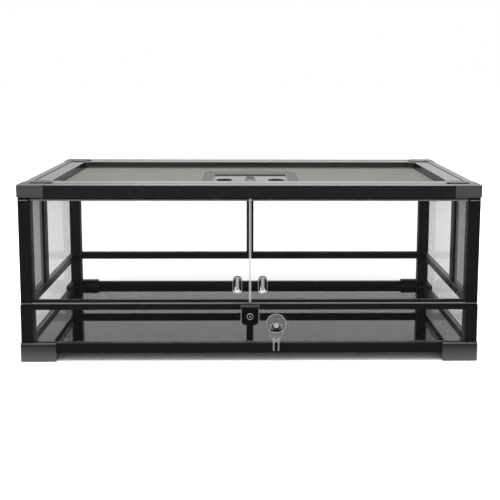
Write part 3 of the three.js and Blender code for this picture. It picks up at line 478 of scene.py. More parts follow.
@dataclass(frozen=True)
class ClearSheet(Finish):
    """Clear glass or clear plastic, which lets the lamps through.

    Args:
        ior: How strongly it bends light.
        passed: The share of light it lets through to what is behind.
        smears: How much faint wiping marks dull it.
        smear_scale: How close together the marks are.
        smear_stretch: How many times longer than wide they are.
    """

    ior: float = 1.5
    passed: float = 0.93
    smears: float = 0.012
    smear_scale: float = 5.0
    smear_stretch: float = 4.0

    def build(self, groups: SurfaceGroups) -> bpy.types.Material:
        """Builds the clear material.

        Args:
            groups: The shared effects.

        Returns:
            The material.
        """
        material, sheet, shader = self.start()
        shader.inputs["Transmission Weight"].default_value = 1.0
        shader.inputs["IOR"].default_value = self.ior
        scuffs = sheet.add("ShaderNodeGroup", node_tree=groups.scuffs)
        scuffs.inputs["Scale"].default_value = self.smear_scale
        scuffs.inputs["Stretch"].default_value = self.smear_stretch
        rough = sheet.math("MULTIPLY_ADD", scuffs.outputs["Mask"], self.smears, self.roughness)
        sheet.tree.links.new(rough, shader.inputs["Roughness"])
        through = sheet.add("ShaderNodeBsdfTransparent", {"Color": (*self.scaled(self.passed), 1)})
        path = sheet.add("ShaderNodeLightPath")
        lit = sheet.math("MAXIMUM", path.outputs["Is Shadow Ray"], path.outputs["Is Diffuse Ray"])
        mixed = sheet.add("ShaderNodeMixShader")
        sheet.tree.links.new(lit, mixed.inputs[0])
        sheet.tree.links.new(shader.outputs[0], mixed.inputs[1])
        sheet.tree.links.new(through.outputs[0], mixed.inputs[2])
        output = sheet.tree.nodes["Material Output"]
        sheet.tree.links.new(mixed.outputs[0], output.inputs["Surface"])
        return material


@dataclass(frozen=True)
class PlatedMetal(Finish):
    """Bright metal with a faint brushed grain.

    Args:
        grain: How fine the brushing is.
        relief: How far the brushing stands out, in metres.
        strength: How much it tilts the surface.
        metallic: How metallic the surface is.
        variation: How much darker the tone gets in places.
        clouding: How much duller it gets in places.
        rubbing: How much duller the rubbing marks are.
        rubbing_scale: How close together the marks are.
    """

    grain: float = 400.0
    relief: float = 0.02 * MM
    strength: float = 0.15
    metallic: float = 1.0
    variation: float = 0.2
    clouding: float = 0.08
    rubbing: float = 0.14
    rubbing_scale: float = 40.0

    def build(self, groups: SurfaceGroups) -> bpy.types.Material:
        """Builds the metal.

        Args:
            groups: The shared effects.

        Returns:
            The metal.
        """
        material, sheet, shader = self.start()
        shader.inputs["Metallic"].default_value = self.metallic
        grain = sheet.add("ShaderNodeGroup", node_tree=groups.grain)
        grain.inputs["Scale"].default_value = self.grain
        scuffs = sheet.add("ShaderNodeGroup", node_tree=groups.scuffs)
        scuffs.inputs["Scale"].default_value = self.rubbing_scale
        worn = sheet.math("MULTIPLY_ADD", scuffs.outputs["Mask"], self.rubbing, self.roughness)
        rough = sheet.math("MULTIPLY_ADD", grain.outputs["Cloud"], self.clouding, worn)
        toned = sheet.mix_colour(grain.outputs["Cloud"], self.scaled(1 - self.variation), self.colour)
        bump = sheet.add(
            "ShaderNodeBump",
            {"Height": grain.outputs["Height"], "Distance": self.relief, "Strength": self.strength},
        )
        sheet.tree.links.new(toned, shader.inputs["Base Color"])
        sheet.tree.links.new(rough, shader.inputs["Roughness"])
        sheet.tree.links.new(bump.outputs[0], shader.inputs["Normal"])
        return material


class Surface(Enum):
    """The finishes of the case, by the pieces that carry them."""

    FRAME = MouldedPlastic(
        "satin_black_frame", linear(33, 31, 36), 0.34, grain=2400, strength=0.2, ior=1.46
    )
    # A paler copy of the frame's black for the back bars and the back mullion: painted light on faces lit
    # inside the case.
    FRAME_INNER_LIT = MouldedPlastic(
        "satin_black_inner_frame_lit", linear(46, 46, 48), 0.4, grain=2400, strength=0.2, ior=1.3
    )
    # A paler copy of the frame's black for the top rails and the side belt rails: painted light, for tops
    # that catch the light from above.
    FRAME_TOP_LIT = MouldedPlastic(
        "satin_black_top_rail_lit", linear(40, 38, 43), 0.28, grain=2400, strength=0.15, dust_and_sheen=0.35, ior=1.8
    )
    # The lid's rails carry a heavy pale film on their tops: a painted sheen of light together with dust.
    LID = MouldedPlastic(
        "satin_black_lid", linear(30, 29, 32), 0.2, grain=2400, strength=0.12, dust_and_sheen=0.5, ior=1.85
    )
    CORNER = MouldedPlastic(
        "grained_grey_corner", linear(94, 92, 99), 0.52,
        grain=700, relief=0.2 * MM, strength=0.8, variation=0.16,
    )
    # The feet grow paler towards the bottom: painted light bounced up from the ground.
    FOOT = MouldedPlastic(
        "grained_grey_foot", linear(28, 28, 29), 0.52,
        grain=700, relief=0.2 * MM, strength=0.8, variation=0.16, bounce_light_below=52 * MM,
    )
    CAP = MouldedPlastic(
        "satin_corner_cap", linear(26, 26, 28), 0.4, grain=2400, strength=0.2, dust_and_sheen=0.0, ior=1.45
    )
    FLOOR = PolishedSheet("gloss_black_floor", linear(12, 12, 14), 0.012, ior=1.56)
    GLASS = ClearSheet("clear_glass", (0.98, 0.988, 0.984), 0.0)
    # A darker copy of the clear glass for the side walls: painted shade on what is seen through them.
    SHADED_SIDE_GLASS = ClearSheet("shaded_side_glass", (0.9, 0.906, 0.885), 0.0)
    # Near-white painted highlights along the edges of the panes and the clear mouldings, where they catch
    # the light.
    EDGE_HIGHLIGHT = MouldedPlastic(
        "painted_edge_highlight", linear(248, 249, 251), 0.3, variation=0.03, dust_and_sheen=0.0
    )
    LOWER_EDGE_HIGHLIGHT = MouldedPlastic("painted_lower_edge_highlight", linear(176, 184, 192), 0.3, variation=0.05, dust_and_sheen=0.0)
    # Pale cores inside the clear pulls and the cup's knob: painted light, standing in for the bright
    # backdrop refracted through the clear plastic.
    PULL_LIGHT_CORE = MouldedPlastic("painted_light_core", linear(226, 230, 240), 0.3, variation=0.05, dust_and_sheen=0.0)
    # The hatch carries a heavy pale film on its top: a painted sheen of light together with dust.
    HATCH = MouldedPlastic(
        "satin_hatch", linear(96, 95, 92), 0.3, grain=2400, strength=0.15, dust_and_sheen=0.6, ior=1.7
    )
    HATCH_RIM = MouldedPlastic(
        "satin_hatch_rim", linear(62, 61, 59), 0.46, grain=2400, strength=0.2, dust_and_sheen=0.2, ior=1.3
    )
    RETAINER = MouldedPlastic("grey_retainer", linear(112, 111, 106), 0.5, dust_and_sheen=0.1)
    PULL = ClearSheet("clear_moulding", (0.95, 0.97, 0.98), 0.02, ior=1.47)
    SCREEN = PlatedMetal("grey_screen_wire", linear(196, 194, 186), 0.5, metallic=0.25)
    VENT = MouldedPlastic("grey_vent_frame", linear(176, 177, 180), 0.5)
    VENT_SEAL = MouldedPlastic("grey_vent_cord", linear(140, 141, 145), 0.6)
    VENT_SCREEN = PlatedMetal("pale_vent_wire", linear(250, 252, 255), 0.5, metallic=0.1)
    LOCK = MouldedPlastic("black_lock_housing", linear(18, 18, 20), 0.4, grain=1800, strength=0.25)
    LOCK_RIM = MouldedPlastic("grey_lock_rim", linear(232, 232, 236), 0.4)
    SLIDER = MouldedPlastic("grey_slider", linear(96, 96, 95), 0.55, dust_and_sheen=0.05, ior=1.4)
    STEEL = PlatedMetal("plated_steel", linear(248, 248, 250), 0.3, metallic=0.35)
    # Pale grey for the doors' head seal, which is real, and for painted highlight lines along edges.
    SEAL_AND_HIGHLIGHT = MouldedPlastic("pale_seal_and_edge_highlight", linear(182, 181, 182), 0.5, variation=0.05)
    # Near-black painted shade, put where deep shade falls: the port sleeves, the lock's plug and the side
    # strips of the lid's retainer.
    SHADE = MouldedPlastic("painted_shade_dark", linear(8, 8, 9), 0.7)


class Paints:
    """The materials, each built the first time it is asked for."""

    def __init__(self) -> None:
        """Starts with the shared effects and no material."""
        self.groups = SurfaceGroups()
        self.built: dict[Surface, bpy.types.Material] = {}

    def __call__(self, surface: Surface) -> bpy.types.Material:
        """Gives a surface's material.

        Args:
            surface: The surface.

        Returns:
            Its material.
        """
        if surface not in self.built:
            self.built[surface] = surface.value.build(self.groups)
        return self.built[surface]


# ------------------------------------------------------------------ mesh helpers


def finished(
    name: str, shape: bmesh.types.BMesh, material: bpy.types.Material, smooth: float = 35.0
) -> bpy.types.Object:
    """Turns a shape into an object at the origin.

    Args:
        name: The object's name.
        shape: The shape, which is freed.
        material: Its material.
        smooth: The angle in degrees over which an edge stays sharp.

    Returns:
        The object.
    """
    bmesh.ops.remove_doubles(shape, verts=shape.verts, dist=1e-6)
    bmesh.ops.recalc_face_normals(shape, faces=shape.faces)
    mesh = bpy.data.meshes.new(name)
    shape.to_mesh(mesh)
    shape.free()
    mesh.materials.append(material)
    mesh.shade_smooth()
    mesh.set_sharp_from_angle(angle=math.radians(smooth))
    piece = bpy.data.objects.new(name, mesh)
    bpy.context.scene.collection.objects.link(piece)
    return piece


def apply_modifiers(piece: bpy.types.Object) -> bpy.types.Object:
    """Bakes a piece's modifiers into its mesh.

    Args:
        piece: The piece with live modifiers.

    Returns:
        The same piece, with a plain mesh.
    """
    graph = bpy.context.evaluated_depsgraph_get()
    graph.update()
    mesh = bpy.data.meshes.new_from_object(piece.evaluated_get(graph), depsgraph=graph)
    piece.modifiers.clear()
    old = piece.data
    piece.data = mesh
    bpy.data.meshes.remove(old)
    mesh.name = piece.name
    return piece


def loft(rings: Sequence[Sequence[Point]], closed: bool = False) -> bmesh.types.BMesh:
    """Joins rings of points into a skin.

    Args:
        rings: Rings with the same number of points.
        closed: Whether the last ring joins the first, or both are capped.

    Returns:
        The skin.
    """
    shape = bmesh.new()
    loops = [[shape.verts.new(point) for point in ring] for ring in rings]
    count = len(loops[0])
    pairs = list(zip(loops, loops[1:]))
    if closed:
        pairs.append((loops[-1], loops[0]))
    for low, high in pairs:
        for i in range(count):
            j = (i + 1) % count
            shape.faces.new((low[i], low[j], high[j], high[i]))
    if not closed:
        shape.faces.new(tuple(reversed(loops[0])))
        shape.faces.new(loops[-1])
    return shape


def turned(profile: Profile, centre: Vector, steps: int = 64) -> bmesh.types.BMesh:
    """Turns a profile about an axis that points to the front.

    Args:
        profile: Radius and reach to the front of each point, from the axis back to it.
        centre: The axis's rearmost point.
        steps: Steps round the axis.

    Returns:
        The turned shape.
    """
    smallest = 0.01 * MM
    rings = []
    for radius, reach in profile:
        ring = []
        for i in range(steps):
            angle = math.tau * i / steps
            ring.append((
                centre.x + max(radius, smallest) * math.cos(angle),
                centre.y - reach,
                centre.z + max(radius, smallest) * math.sin(angle),
            ))
        rings.append(ring)
    return loft(rings)


def stepped(start: tuple[float, float], steps: Profile) -> list[tuple[float, float]]:
    """Returns a profile's points, each given in millimetres from a start point."""
    return [(start[0] + out * MM, start[1] + forward * MM) for out, forward in steps]


def upright_oval(centre: Vector, half_width: float, half_height: float, turns: int = 96) -> list[Vector]:
    """Lays points on an oval that faces the front.

    Args:
        centre: Its middle.
        half_width: Half its width.
        half_height: Half its height.
        turns: How many points.

    Returns:
        The points, from the top on.
    """
    points = []
    for i in range(turns):
        angle = math.tau * i / turns
        points.append(centre + Vector((half_width * math.sin(angle), 0, half_height * math.cos(angle))))
    return points


def wire(path: Sequence[Vector], radius: float, sides: int = 12) -> bmesh.types.BMesh:
    """Bends a round wire along a closed path.

    Args:
        path: The path's points.
        radius: The wire's radius.
        sides: Sides of its section.

    Returns:
        The wire.
    """
    rings = []
    count = len(path)
    for i, point in enumerate(path):
        along = (path[(i + 1) % count] - path[i - 1]).normalized()
        across = along.cross(Vector((0, 1, 0))).normalized()
        other = along.cross(across)
        ring = []
        for k in range(sides):
            angle = math.tau * k / sides
            ring.append(tuple(point + radius * (across * math.cos(angle) + other * math.sin(angle))))
        rings.append(ring)
    return loft(rings, closed=True)


def box_shape(low: Sequence[float], high: Sequence[float]) -> bmesh.types.BMesh:
    """Makes a box.

    Args:
        low: Its lowest corner.
        high: Its highest corner.

    Returns:
        The box.
    """
    shape = bmesh.new()
    bmesh.ops.create_cube(shape, size=1)
    size = [b - a for a, b in zip(low, high)]
    middle = [(a + b) / 2 for a, b in zip(low, high)]
    shape.transform(Matrix.Translation(middle) @ Matrix.Diagonal((*size, 1)))
    return shape


def merged(name: str, pieces: Sequence[bpy.types.Object]) -> bpy.types.Object:
    """Joins pieces into one object that keeps each piece's material.

    Args:
        name: The joined object's name.
        pieces: The pieces, which are used up.

    Returns:
        The joined object.
    """
    first = pieces[0]
    with bpy.context.temp_override(
        active_object=first, selected_editable_objects=list(pieces), selected_objects=list(pieces)
    ):
        bpy.ops.object.join()
    first.name = name
    first.data.name = name
    return first


# ------------------------------------------------------------------ sub-assemblies


@dataclass
class SubAssembly:
    """Pieces of the case that are made and dressed together.

    Args:
        paints: The materials.
    """

    paints: Paints

    def build(self) -> None:
        """Makes the pieces."""
        raise NotImplementedError


@dataclass
class Casework(SubAssembly):
    """The bars, corners, panes and floor, which keep their solids and get their finishes.

    Args:
        nodes: The frame's nodes by name.
        sleeve: How far up from the cover's bottom the walls of the port sleeves get painted shade.
        port_start: How far from the cover's middle the ports start.
        port_end: How far inside the cover's ends they stop.
        port_margin: How far inside its front and back they stay.
        wall_tilt: How far from upright a sleeve's face may lean.
    """

    nodes: dict[str, bpy.types.Object]
    sleeve: float = 7.4 * MM
    port_start: float = 40 * MM
    port_end: float = 5 * MM
    port_margin: float = 10 * MM
    wall_tilt: float = 0.2

    def finishes(self) -> dict[str, Surface]:
        """Lists the finishes of the nodes that keep their solids.

        Returns:
            The surface of each of these nodes.
        """
        wanted: dict[str, Surface] = {
            "floor_panel": Surface.FLOOR,
            "mullion_back": Surface.FRAME_INNER_LIT,
            "lock_body": Surface.LOCK,
            "lock_latch": Surface.LOCK,
            "hatch_frame": Surface.HATCH_RIM,
            "hatch_cover": Surface.HATCH,
            "hatch_slider": Surface.SLIDER,
        }
        for wall in WALLS:
            # The back bars take the frame's black with painted light; the top rails, and the belt rails at
            # the sides, take it with a painted top light.
            bars = Surface.FRAME_INNER_LIT if wall == "back" else Surface.FRAME
            wanted[f"base_rail_{wall}"] = bars
            wanted[f"belt_rail_{wall}"] = Surface.FRAME_TOP_LIT if wall in SIDES else bars
            wanted[f"top_rail_{wall}"] = Surface.FRAME_TOP_LIT
            wanted[f"lid_rail_{wall}"] = Surface.LID
            wanted[f"lower_glass_{wall}"] = Surface.SHADED_SIDE_GLASS if wall in SIDES else Surface.GLASS
        for corner in CORNERS:
            wanted[f"post_{corner}"] = Surface.FRAME_INNER_LIT if corner.startswith("back") else Surface.FRAME
            wanted[f"foot_{corner}"] = Surface.FOOT
            wanted[f"top_corner_{corner}"] = Surface.CORNER
        for side in SIDES:
            wanted[f"mullion_{side}"] = Surface.FRAME
            wanted[f"door_stile_{side}"] = Surface.FRAME
            wanted[f"side_glass_{side}"] = Surface.SHADED_SIDE_GLASS
            wanted[f"door_glass_{side}"] = Surface.GLASS
            wanted[f"back_glass_{side}"] = Surface.GLASS
        return wanted

    def build(self) -> None:
        """Gives each kept node its material."""
        for name, surface in self.finishes().items():
            mesh = self.nodes[name].data
            mesh.materials.clear()
            mesh.materials.append(self.paints(surface))
            LOG.info("dressed %s as %s", name, surface.value.name)
        self.paint_port_shade()

    def paint_port_shade(self) -> None:
        """Paints shade on the walls of the sleeves of the hatch's two ports, as a near-black finish."""
        cover = self.nodes["hatch_cover"]
        cover.data.materials.append(self.paints(Surface.SHADE))
        place = cover.matrix_world
        low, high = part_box("hatch_cover")
        for face in cover.data.polygons:
            centre = place @ face.center
            upright = abs((place.to_3x3() @ face.normal).z) < self.wall_tilt
            along = self.port_start < abs(centre.x) < high.x - self.port_end
            across = low.y + self.port_margin < centre.y < high.y - self.port_margin
            if upright and along and across and centre.z < low.z + self.sleeve:
                face.material_index = 1


class Plane(Enum):
    """The plane a screen lies in: its run, its rise and its normal, as axis numbers."""

    LEVEL = (0, 1, 2)
    SIDE = (1, 2, 0)


@dataclass
class WovenScreen:
    """Fine wire cloth, with one row of wires laid each way.

    Args:
        paints: The materials.
        pitch: The distance between wires.
        wire: The wire's width.
        surface: The wire's finish.
    """

    paints: Paints
    pitch: float = 1.6 * MM
    wire: float = 0.36 * MM
    surface: Surface = Surface.SCREEN

    def rows_tree(self) -> bpy.types.NodeTree:
        """Builds the node tree that lays one row of wires side by side.

        Returns:
            The tree.
        """
        sheet = new_group(
            "wire_rows",
            "GeometryNodeTree",
            {
                "Start": ("NodeSocketVector", None),
                "Step": ("NodeSocketVector", None),
                "Wire": ("NodeSocketVector", None),
                "Count": ("NodeSocketInt", 2),
                "Material": ("NodeSocketMaterial", None),
            },
            {"Geometry": "NodeSocketGeometry"},
        )
        given = sheet.add("NodeGroupInput")
        line = sheet.add(
            "GeometryNodeMeshLine",
            {
                "Count": given.outputs["Count"],
                "Start Location": given.outputs["Start"],
                "Offset": given.outputs["Step"],
            },
        )
        strand = sheet.add("GeometryNodeMeshCube", {"Size": given.outputs["Wire"]})
        laid = sheet.add(
            "GeometryNodeInstanceOnPoints", {"Points": line.outputs[0], "Instance": strand.outputs["Mesh"]}
        )
        real = sheet.add("GeometryNodeRealizeInstances", {"Geometry": laid.outputs[0]})
        coated = sheet.add(
            "GeometryNodeSetMaterial", {"Geometry": real.outputs[0], "Material": given.outputs["Material"]}
        )
        result = sheet.add("NodeGroupOutput")
        sheet.tree.links.new(coated.outputs[0], result.inputs[0])
        return sheet.tree

    def rows(
        self, name: str, start: Vector, step: Vector, strand: Vector, count: int
    ) -> bpy.types.Object:
        """Lays one row of wires.

        Args:
            name: The object's name.
            start: The first wire's middle.
            step: The way from one wire to the next.
            strand: The wire's size along each axis.
            count: How many wires.

        Returns:
            The row as a plain mesh.
        """
        tree = bpy.data.node_groups.get("wire_rows") or self.rows_tree()
        row = finished(name, bmesh.new(), self.paints(self.surface))
        modifier = row.modifiers.new("rows", "NODES")
        modifier.node_group = tree
        given = {
            "Start": start,
            "Step": step,
            "Wire": strand,
            "Count": count,
            "Material": self.paints(self.surface),
        }
        for item in tree.interface.items_tree:
            if item.in_out == "INPUT":
                value = given[item.name]
                modifier[item.identifier] = tuple(value) if isinstance(value, Vector) else value
        return apply_modifiers(row)

    def weave(self, name: str, low: Vector, high: Vector, plane: Plane) -> bpy.types.Object:
        """Fills a rectangle with wire cloth.

        Args:
            name: The object's name.
            low: The sheet's lowest corner.
            high: Its highest corner.
            plane: The plane it lies in.

        Returns:
            The cloth.
        """
        run, rise, normal = plane.value
        middle = (low + high) / 2
        parts = []
        for along, across, lift in ((run, rise, 0.5), (rise, run, -0.5)):
            span = high[across] - low[across]
            count = max(2, round(span / self.pitch))
            start = middle.copy()
            start[across] = low[across] + span / count / 2
            start[normal] = middle[normal] + lift * self.wire
            step = Vector((0, 0, 0))
            step[across] = span / count
            strand = Vector((self.wire,) * 3)
            strand[along] = high[along] - low[along]
            parts.append(self.rows(f"{name}_{along}", start, step, strand, count))
        shape = bmesh.new()
        for part in parts:
            shape.from_mesh(part.data)
            bpy.data.objects.remove(part)
        mesh = bpy.data.meshes.new(name)
        shape.to_mesh(mesh)
        shape.free()
        mesh.materials.append(self.paints(self.surface))
        cloth = bpy.data.objects.new(name, mesh)
        bpy.context.scene.collection.objects.link(cloth)
        LOG.info("wove %s", name)
        return cloth


@dataclass
class Screens(SubAssembly):
    """The wire cloth in the lid, and the two side vents.

    Args:
        hatch_margin: How far the lid's cloth is cut back round the hatch's collar.
        slider_room: How much further it is cut back in front of it.
        tongue: How far a vent's solid reaches into the bars beside it, and above and below it.
        border: The width of a vent's own frame.
        bevel: The width of the frame's bevel.
        cord: The width of the cord that holds the cloth.
        cord_recess: How far the cord lies inside the frame's faces.
    """

    hatch_margin: float = 3.5 * MM
    slider_room: float = 1 * MM
    tongue: tuple[float, float] = (5.7 * MM, 7.7 * MM)
    border: float = 9 * MM
    bevel: float = 1.1 * MM
    cord: float = 1.6 * MM
    cord_recess: float = 2.2 * MM

    def build(self) -> None:
        """Weaves the lid's cloth, then makes both vents."""
        self.lid_cloth(WovenScreen(self.paints))
        pale_cloth = WovenScreen(self.paints, surface=Surface.VENT_SCREEN)
        for side in SIDES:
            self.vent(side, pale_cloth)

    def lid_cloth(self, cloth: WovenScreen) -> None:
        """Weaves the lid's cloth in four strips round the hatch.

        Args:
            cloth: The weave.
        """
        low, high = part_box("lid_mesh")
        collar_low, collar_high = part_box("hatch_cover")
        left = collar_low.x - self.hatch_margin
        right = collar_high.x + self.hatch_margin
        front = collar_low.y - self.hatch_margin - self.slider_room
        back = collar_high.y + self.hatch_margin
        spans = {
            "front": ((low.x, low.y), (high.x, front)),
            "back": ((low.x, back), (high.x, high.y)),
            "left": ((low.x, front), (left, back)),
            "right": ((right, front), (high.x, back)),
        }
        strips = []
        for name, (start, end) in spans.items():
            strip_low = Vector((*start, low.z))
            strip_high = Vector((*end, high.z))
            strips.append(cloth.weave(f"lid_screen_{name}", strip_low, strip_high, Plane.LEVEL))
        whole = merged("lid_screen", strips)
        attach(whole, "screen_lid")
        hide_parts("lid_mesh")

    def vent(self, side: str, cloth: WovenScreen) -> None:
        """Makes a side vent: a bevelled frame, the cord that holds the cloth, and the cloth.

        Args:
            side: The side's name.
            cloth: The weave.
        """
        low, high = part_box(f"vent_{side}")
        tongues = Vector((0, *self.tongue))
        border = Vector((0, self.border, self.border))
        recess = Vector((self.cord_recess, 0, 0))
        cord = Vector((0, self.cord, self.cord))
        outer = (low + tongues, high - tongues)
        inner = (outer[0] + border, outer[1] - border)
        corded = (inner[0] + recess, inner[1] - recess)
        open_part = (corded[0] + cord, corded[1] - cord)
        frame = self.ring(f"vent_frame_{side}", outer, inner, Surface.VENT)
        bevel = frame.modifiers.new("edges", "BEVEL")
        bevel.width = self.bevel
        bevel.segments = 3
        apply_modifiers(frame)
        seal = self.ring(f"vent_seal_{side}", corded, open_part, Surface.VENT_SEAL)
        middle = (low.x + high.x) / 2
        mesh_low = Vector((middle, inner[0].y, inner[0].z))
        mesh_high = Vector((middle, inner[1].y, inner[1].z))
        screen = cloth.weave(f"vent_screen_{side}", mesh_low, mesh_high, Plane.SIDE)
        vent = merged(f"vent_{side}_dressed", [frame, seal, screen])
        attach(vent, "cabinet")
        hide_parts(f"vent_{side}")
        LOG.info("made the %s vent", side)

    def ring(
        self, name: str, outer: tuple[Vector, Vector], hole: tuple[Vector, Vector], surface: Surface
    ) -> bpy.types.Object:
        """Makes a rectangular ring that stands in the side wall's plane.

        Args:
            name: The object's name.
            outer: The ring's lowest and highest corner.
            hole: The hole's lowest and highest corner.
            surface: The ring's surface.

        Returns:
            The ring.
        """
        left, right = outer[0].x, outer[1].x
        rings = []
        for x, (low, high) in ((left, outer), (right, outer), (right, hole), (left, hole)):
            rings.append([(x, low.y, low.z), (x, high.y, low.z), (x, high.y, high.z), (x, low.y, high.z)])
        return finished(name, loft(rings, closed=True), self.paints(surface), smooth=20)


@dataclass
class Pulls(SubAssembly):
    """The clear moulded pulls on the doors.

    Args:
        steps: Steps round each end.
        levels: Steps from the glass to the head.
        waist: How far the sides are drawn in, as a share of the width, at each share of the reach.
        core: The width and height in millimetres of the pale core that paints the light refracted through
            the pull, at each share of the reach.
        line_place: Where the painted highlight line runs, as a share of the reach.
        line_inset: How far it runs inside the pull's sides.
        line_radius: The line's radius.
    """

    steps: int = 20
    levels: int = 22
    waist: Profile = (
        (0, 0.0), (0.07, 0.0), (0.2, 0.065), (0.42, 0.12), (0.6, 0.09),
        (0.74, 0.015), (0.86, 0.01), (0.95, 0.055), (1, 0.15),
    )
    core: Sequence[Point] = ((0.04, 7.5, 29), (0.5, 6.5, 28), (0.66, 5.5, 27), (0.72, 3, 24))
    line_place: float = 0.8
    line_inset: float = 0.5 * MM
    line_radius: float = 0.55 * MM

    def build(self) -> None:
        """Makes both pulls."""
        for side in SIDES:
            low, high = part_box(f"door_handle_{side}")
            pull = merged(f"door_pull_{side}", [
                self.moulding(side, low, high),
                self.painted_core(side, low, high),
                self.highlight_line(side, low, high),
            ])
            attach(pull, f"door_{side}")
            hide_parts(f"door_handle_{side}")
            LOG.info("made the %s pull", side)

    def drawn_in(self, reach: float) -> float:
        """Blends smoothly between the knots of the waist.

        Args:
            reach: A share of the pull's reach.

        Returns:
            How far the side is drawn in there, as a share of the width.
        """
        for (a, low), (b, high) in zip(self.waist, self.waist[1:]):
            if reach <= b:
                share = (reach - a) / (b - a)
                return low + (high - low) * share * share * (3 - 2 * share)
        return self.waist[-1][1]

    def moulding(self, side: str, low: Vector, high: Vector) -> bpy.types.Object:
        """Makes a pull's clear body.

        Args:
            side: The door's side.
            low: The pull's lowest corner.
            high: Its highest corner, which lies on the glass.

        Returns:
            The body.
        """
        width, depth, height = high - low
        centre = (low + high) / 2
        rings = []
        for level in range(self.levels + 1):
            reach = level / self.levels
            shrink = 2 * self.drawn_in(reach) * width
            rings.append(self.capsule(centre, width - shrink, height - shrink, high.y - reach * depth))
        return finished(f"door_pull_{side}", loft(rings), self.paints(Surface.PULL), smooth=50)

    def painted_core(self, side: str, low: Vector, high: Vector) -> bpy.types.Object:
        """Makes the pale core that paints the light refracted through a pull.

        Args:
            side: The door's side.
            low: The pull's lowest corner.
            high: Its highest corner.

        Returns:
            The core.
        """
        centre = (low + high) / 2
        rings = []
        for reach, width, height in self.core:
            y = high.y - reach * (high.y - low.y)
            rings.append(self.capsule(centre, width * MM, height * MM, y))
        return finished(f"pull_light_core_{side}", loft(rings), self.paints(Surface.PULL_LIGHT_CORE), smooth=40)

    def highlight_line(self, side: str, low: Vector, high: Vector) -> bpy.types.Object:
        """Makes the painted highlight line where a pull is widest.

        Args:
            side: The door's side.
            low: The pull's lowest corner.
            high: Its highest corner.

        Returns:
            The line.
        """
        width, depth, height = high - low
        y = high.y - self.line_place * depth
        inset = 2 * self.line_inset
        ring = self.capsule((low + high) / 2, width - inset, height - inset, y)
        line = wire([Vector(point) for point in ring], self.line_radius)
        return finished(f"pull_edge_highlight_{side}", line, self.paints(Surface.EDGE_HIGHLIGHT), smooth=60)

    def capsule(self, centre: Vector, width: float, height: float, y: float) -> list[Point]:
        """Lays points on an upright round-ended ring.

        Args:
            centre: Its middle.
            width: Its width.
            height: Its height.
            y: Its depth.

        Returns:
            The points.
        """
        radius = width / 2
        straight = (height - width) / 2
        ring = []
        for end, start in ((1, 0.0), (-1, math.pi)):
            for i in range(self.steps + 1):
                angle = start + math.pi * i / self.steps
                ring.append((
                    centre.x + radius * math.cos(angle),
                    y,
                    centre.z + end * straight + radius * math.sin(angle),
                ))
        return ring


